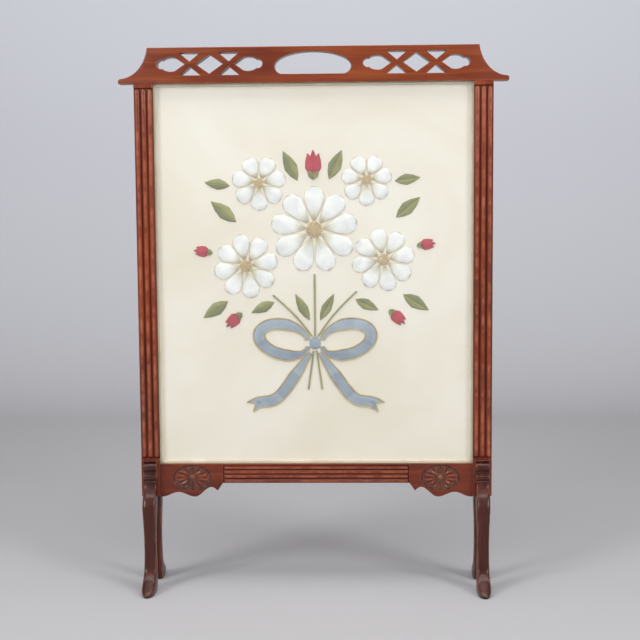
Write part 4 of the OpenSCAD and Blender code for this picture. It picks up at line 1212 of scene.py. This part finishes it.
def cords_and_knots(gold, olive, cream, outlines):
    twisted = cord_tree("plied_cord", gold)
    edges = []
    cord_up = 1.05
    for side in (-1, 1):
        for line, notch in ((loop_line(), 0), (tail_line(), 12)):
            share = 0.5 - 0.5 * CORD_W / RIBBON_W
            left = [beside(line, i, share) for i in range(len(line))]
            right = [beside(line, i, -share) for i in range(len(line))]
            if notch:
                ahead = (Vector(line[-1][:2]) - Vector(line[-3][:2])).normalized()
                paths = [left + [Vector(line[-1][:2]) - ahead * notch] + right[::-1]]
            else:
                paths = [left, right]
            for path in paths:
                edges.append([on_work(side * p.x, p.y, cord_up) for p in path])
    mesh = grow(twisted, edges, "gold_cord", width=0.002, step=0.0007, turns_per_metre=260.0, plies=3)
    show(mesh, "gold_edging", gold, ["ribbon_edging"])
    stems = []
    for (x0, z0), (x1, z1), bow in STEMS:
        row = []
        for t in np.linspace(0, 1, 30):
            row.append(on_work(x0 + (x1 - x0) * t + bow * math.sin(math.pi * t), z0 + (z1 - z0) * t, 1.15))
        stems.append(row)
    rope = cord_tree("stem_stitch", olive)
    mesh = grow(rope, stems, "stem_cord", width=0.0029, step=0.0007, turns_per_metre=170.0, plies=3)
    show(mesh, "stem_cords", olive, ["worked_stems"])
    fine = cord_tree("outline_cord", cream)
    rows = []
    for outline in outlines:
        ring = outline[::3]
        rows.append([(x, SILK_Y - 0.35, z) for x, y, z in ring + ring[:1]])
    mesh = grow(fine, rows, "outline", width=0.001, step=0.0012, turns_per_metre=300.0, plies=2)
    show(mesh, "petal_outlines", cream)
    knots = knot_tree("flower_knots", gold)
    meshes = []
    for k, (x, up, reach, centre, count) in enumerate(FLOWERS):
        mesh = grow(knots, [], "knots", radius=centre * 0.93 * MM, rise=0.0024, knot=0.0019, seed=k + 2)
        upright = Matrix.Rotation(math.pi / 2, 4, "X")
        mesh.transform(Matrix.Translation(Vector(on_work(x, up, 1.0)) * MM) @ upright)
        meshes.append(mesh)
    show(join_meshes("knotted_centres", meshes), "knotted_centres", gold, ["flower_centres"])


# Room: a pale floor, a grey backdrop and plain studio lamps
def stage_surface(name, points, faces, colour_low, colour_high):
    mesh = bpy.data.meshes.new(name)
    mesh.from_pydata(points, [], faces)
    surface = bpy.data.objects.new(name, mesh)
    bpy.context.scene.collection.objects.link(surface)
    f = Finish(name, Roughness=0.85, Specular_IOR_Level=0.1)
    parts = f.node("ShaderNodeSeparateXYZ", {0: f.object}).outputs
    # Painted light: the floor and backdrop get lighter with height, from the low colour to the high one.
    rise = f.math("POWER", f.span(parts[2], 0.0, 1.4), 0.45)
    f.colour(f.mix(rise, colour_low, colour_high))
    mesh.materials.append(f.material)
    for polygon in mesh.polygons:
        polygon.use_smooth = True


def room():
    wide, wall_y, bend, tall = 6.0, 2.6, 0.9, 5.0
    rows = [(-5.0, 0.0), (0.0, 0.0), (wall_y - bend, 0.0)]
    sweep = np.linspace(0.1, math.pi / 2, 14)
    rows += [(wall_y - bend + bend * math.sin(a), bend - bend * math.cos(a)) for a in sweep]
    rows += [(wall_y, tall)]
    points = [(x, y, z) for y, z in rows for x in (-wide, wide)]
    faces = [(2 * i, 2 * i + 1, 2 * i + 3, 2 * i + 2) for i in range(len(rows) - 1)]
    stage_surface("floor", points, faces, paint(187, 186, 188), paint(230, 232, 240))


def lamp(name, place, aim, size, power, colour=(1, 1, 1)):
    light = bpy.data.lights.new(name, "AREA")
    light.shape = "RECTANGLE"
    light.size, light.size_y = size
    light.energy = power
    light.color = colour
    lit = bpy.data.objects.new(name, light)
    lit.location = place
    lit.rotation_euler = (Vector(aim) - Vector(place)).to_track_quat("-Z", "Y").to_euler()
    bpy.context.scene.collection.objects.link(lit)


def lights():
    aim = (0, 0, 0.5)
    lamp("left_box", (-2.1, -2.3, 1.7), aim, (0.9, 1.4), 47)
    lamp("right_box", (2.2, -2.2, 1.7), aim, (0.9, 1.4), 43)
    lamp("top_box", (0, -0.6, 3.0), (0, 0.2, 0.4), (2.4, 1.6), 46)
    world = bpy.data.worlds.new("studio")
    bpy.context.scene.world = world
    world.use_nodes = True
    back = world.node_tree.nodes["Background"]
    back.inputs["Color"].default_value = (1, 1, 1, 1)
    back.inputs["Strength"].default_value = 0.28


def dress():
    place_camera()
    lights()
    room()
    # The finishes get darker from the crest down: the stiles a little, the bottom rail more, the legs much more.
    flat_wood = mahogany("mahogany_along_rails", 0, (0.3, 0.7, 0.1),
                         paint(102, 39, 18), paint(129, 56, 27), paint(160, 80, 36))
    tall_wood = mahogany("mahogany_along_stiles", 2, (1.3, 0.2, 0.9),
                         paint(92, 31, 14), paint(126, 48, 21), paint(160, 72, 30))
    leg_wood = mahogany("mahogany_legs", 2, (2.1, 1.7, 0.4),
                        paint(48, 16, 10), paint(74, 26, 14), paint(102, 41, 22))
    rail_wood = mahogany("mahogany_bottom_rail", 0, (4.3, 0.1, 2.2),
                         paint(86, 29, 13), paint(115, 42, 19), paint(141, 57, 25))
    crest_rail(flat_wood)
    stile("right_stile_wood", (1, 1), tall_wood, "right_stile")
    stile("left_stile_wood", (-1, 1), tall_wood, "left_stile")
    bottom_rail(rail_wood)
    for facing, depth in ((1, "front"), (-1, "back")):
        for side, hand in ((-1, "left"), (1, "right")):
            leg(f"{depth}_leg_wood_{hand}", side, facing, leg_wood, f"{depth}_leg_{hand}")
    slips_and_beads(slip_covering(), rail_wood)
    silk = silk_panel(silk_cloth())
    white = floss("white_floss", paint(246, 247, 244), paint(226, 228, 226), paint(206, 200, 160))
    olive = floss("olive_floss", paint(162, 160, 92), paint(132, 132, 74), paint(98, 104, 58))
    crimson = floss("crimson_floss", paint(196, 44, 66), paint(168, 30, 52), paint(112, 16, 34))
    blue = floss("ribbon_floss", paint(176, 188, 198), paint(150, 163, 176), paint(112, 126, 142))
    gold = floss("gold_thread", paint(222, 196, 128), paint(192, 160, 92), paint(168, 134, 70), 0.0, 0.28, 0.35)
    cream = floss("outline_thread", paint(214, 190, 142), paint(196, 168, 116), paint(180, 150, 100))
    outlines = flower_petals(white)
    leaves_and_buds(olive, crimson)
    ribbon_bow(blue)
    cords_and_knots(gold, olive, cream, outlines)
    kept = {
        "glass_pane": old_glass(),
        "leg_dowels": deal("dowel_beech", 1, paint(170, 124, 84), paint(206, 164, 120)),
        "back_board": deal("back_board_stain", 2, paint(92, 58, 36), paint(140, 96, 62)),
        "silk_tacks": metal("blued_steel", paint(110, 112, 118), paint(64, 58, 54), 0.35),
        "bead_pins": metal("brass_pins", paint(206, 172, 104), paint(140, 106, 58), 0.3),
    }
    strainer = deal("strainer_deal", 2, paint(176, 138, 92), paint(222, 192, 146))
    kept.update({f"strainer_{n}": strainer for n in ("top", "bottom", "left", "right", "keys")})
    for node, finish in kept.items():
        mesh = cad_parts[node].data
        mesh.materials.clear()
        mesh.materials.append(finish)


dress()
bpy.context.scene.view_settings.view_transform = "Standard"
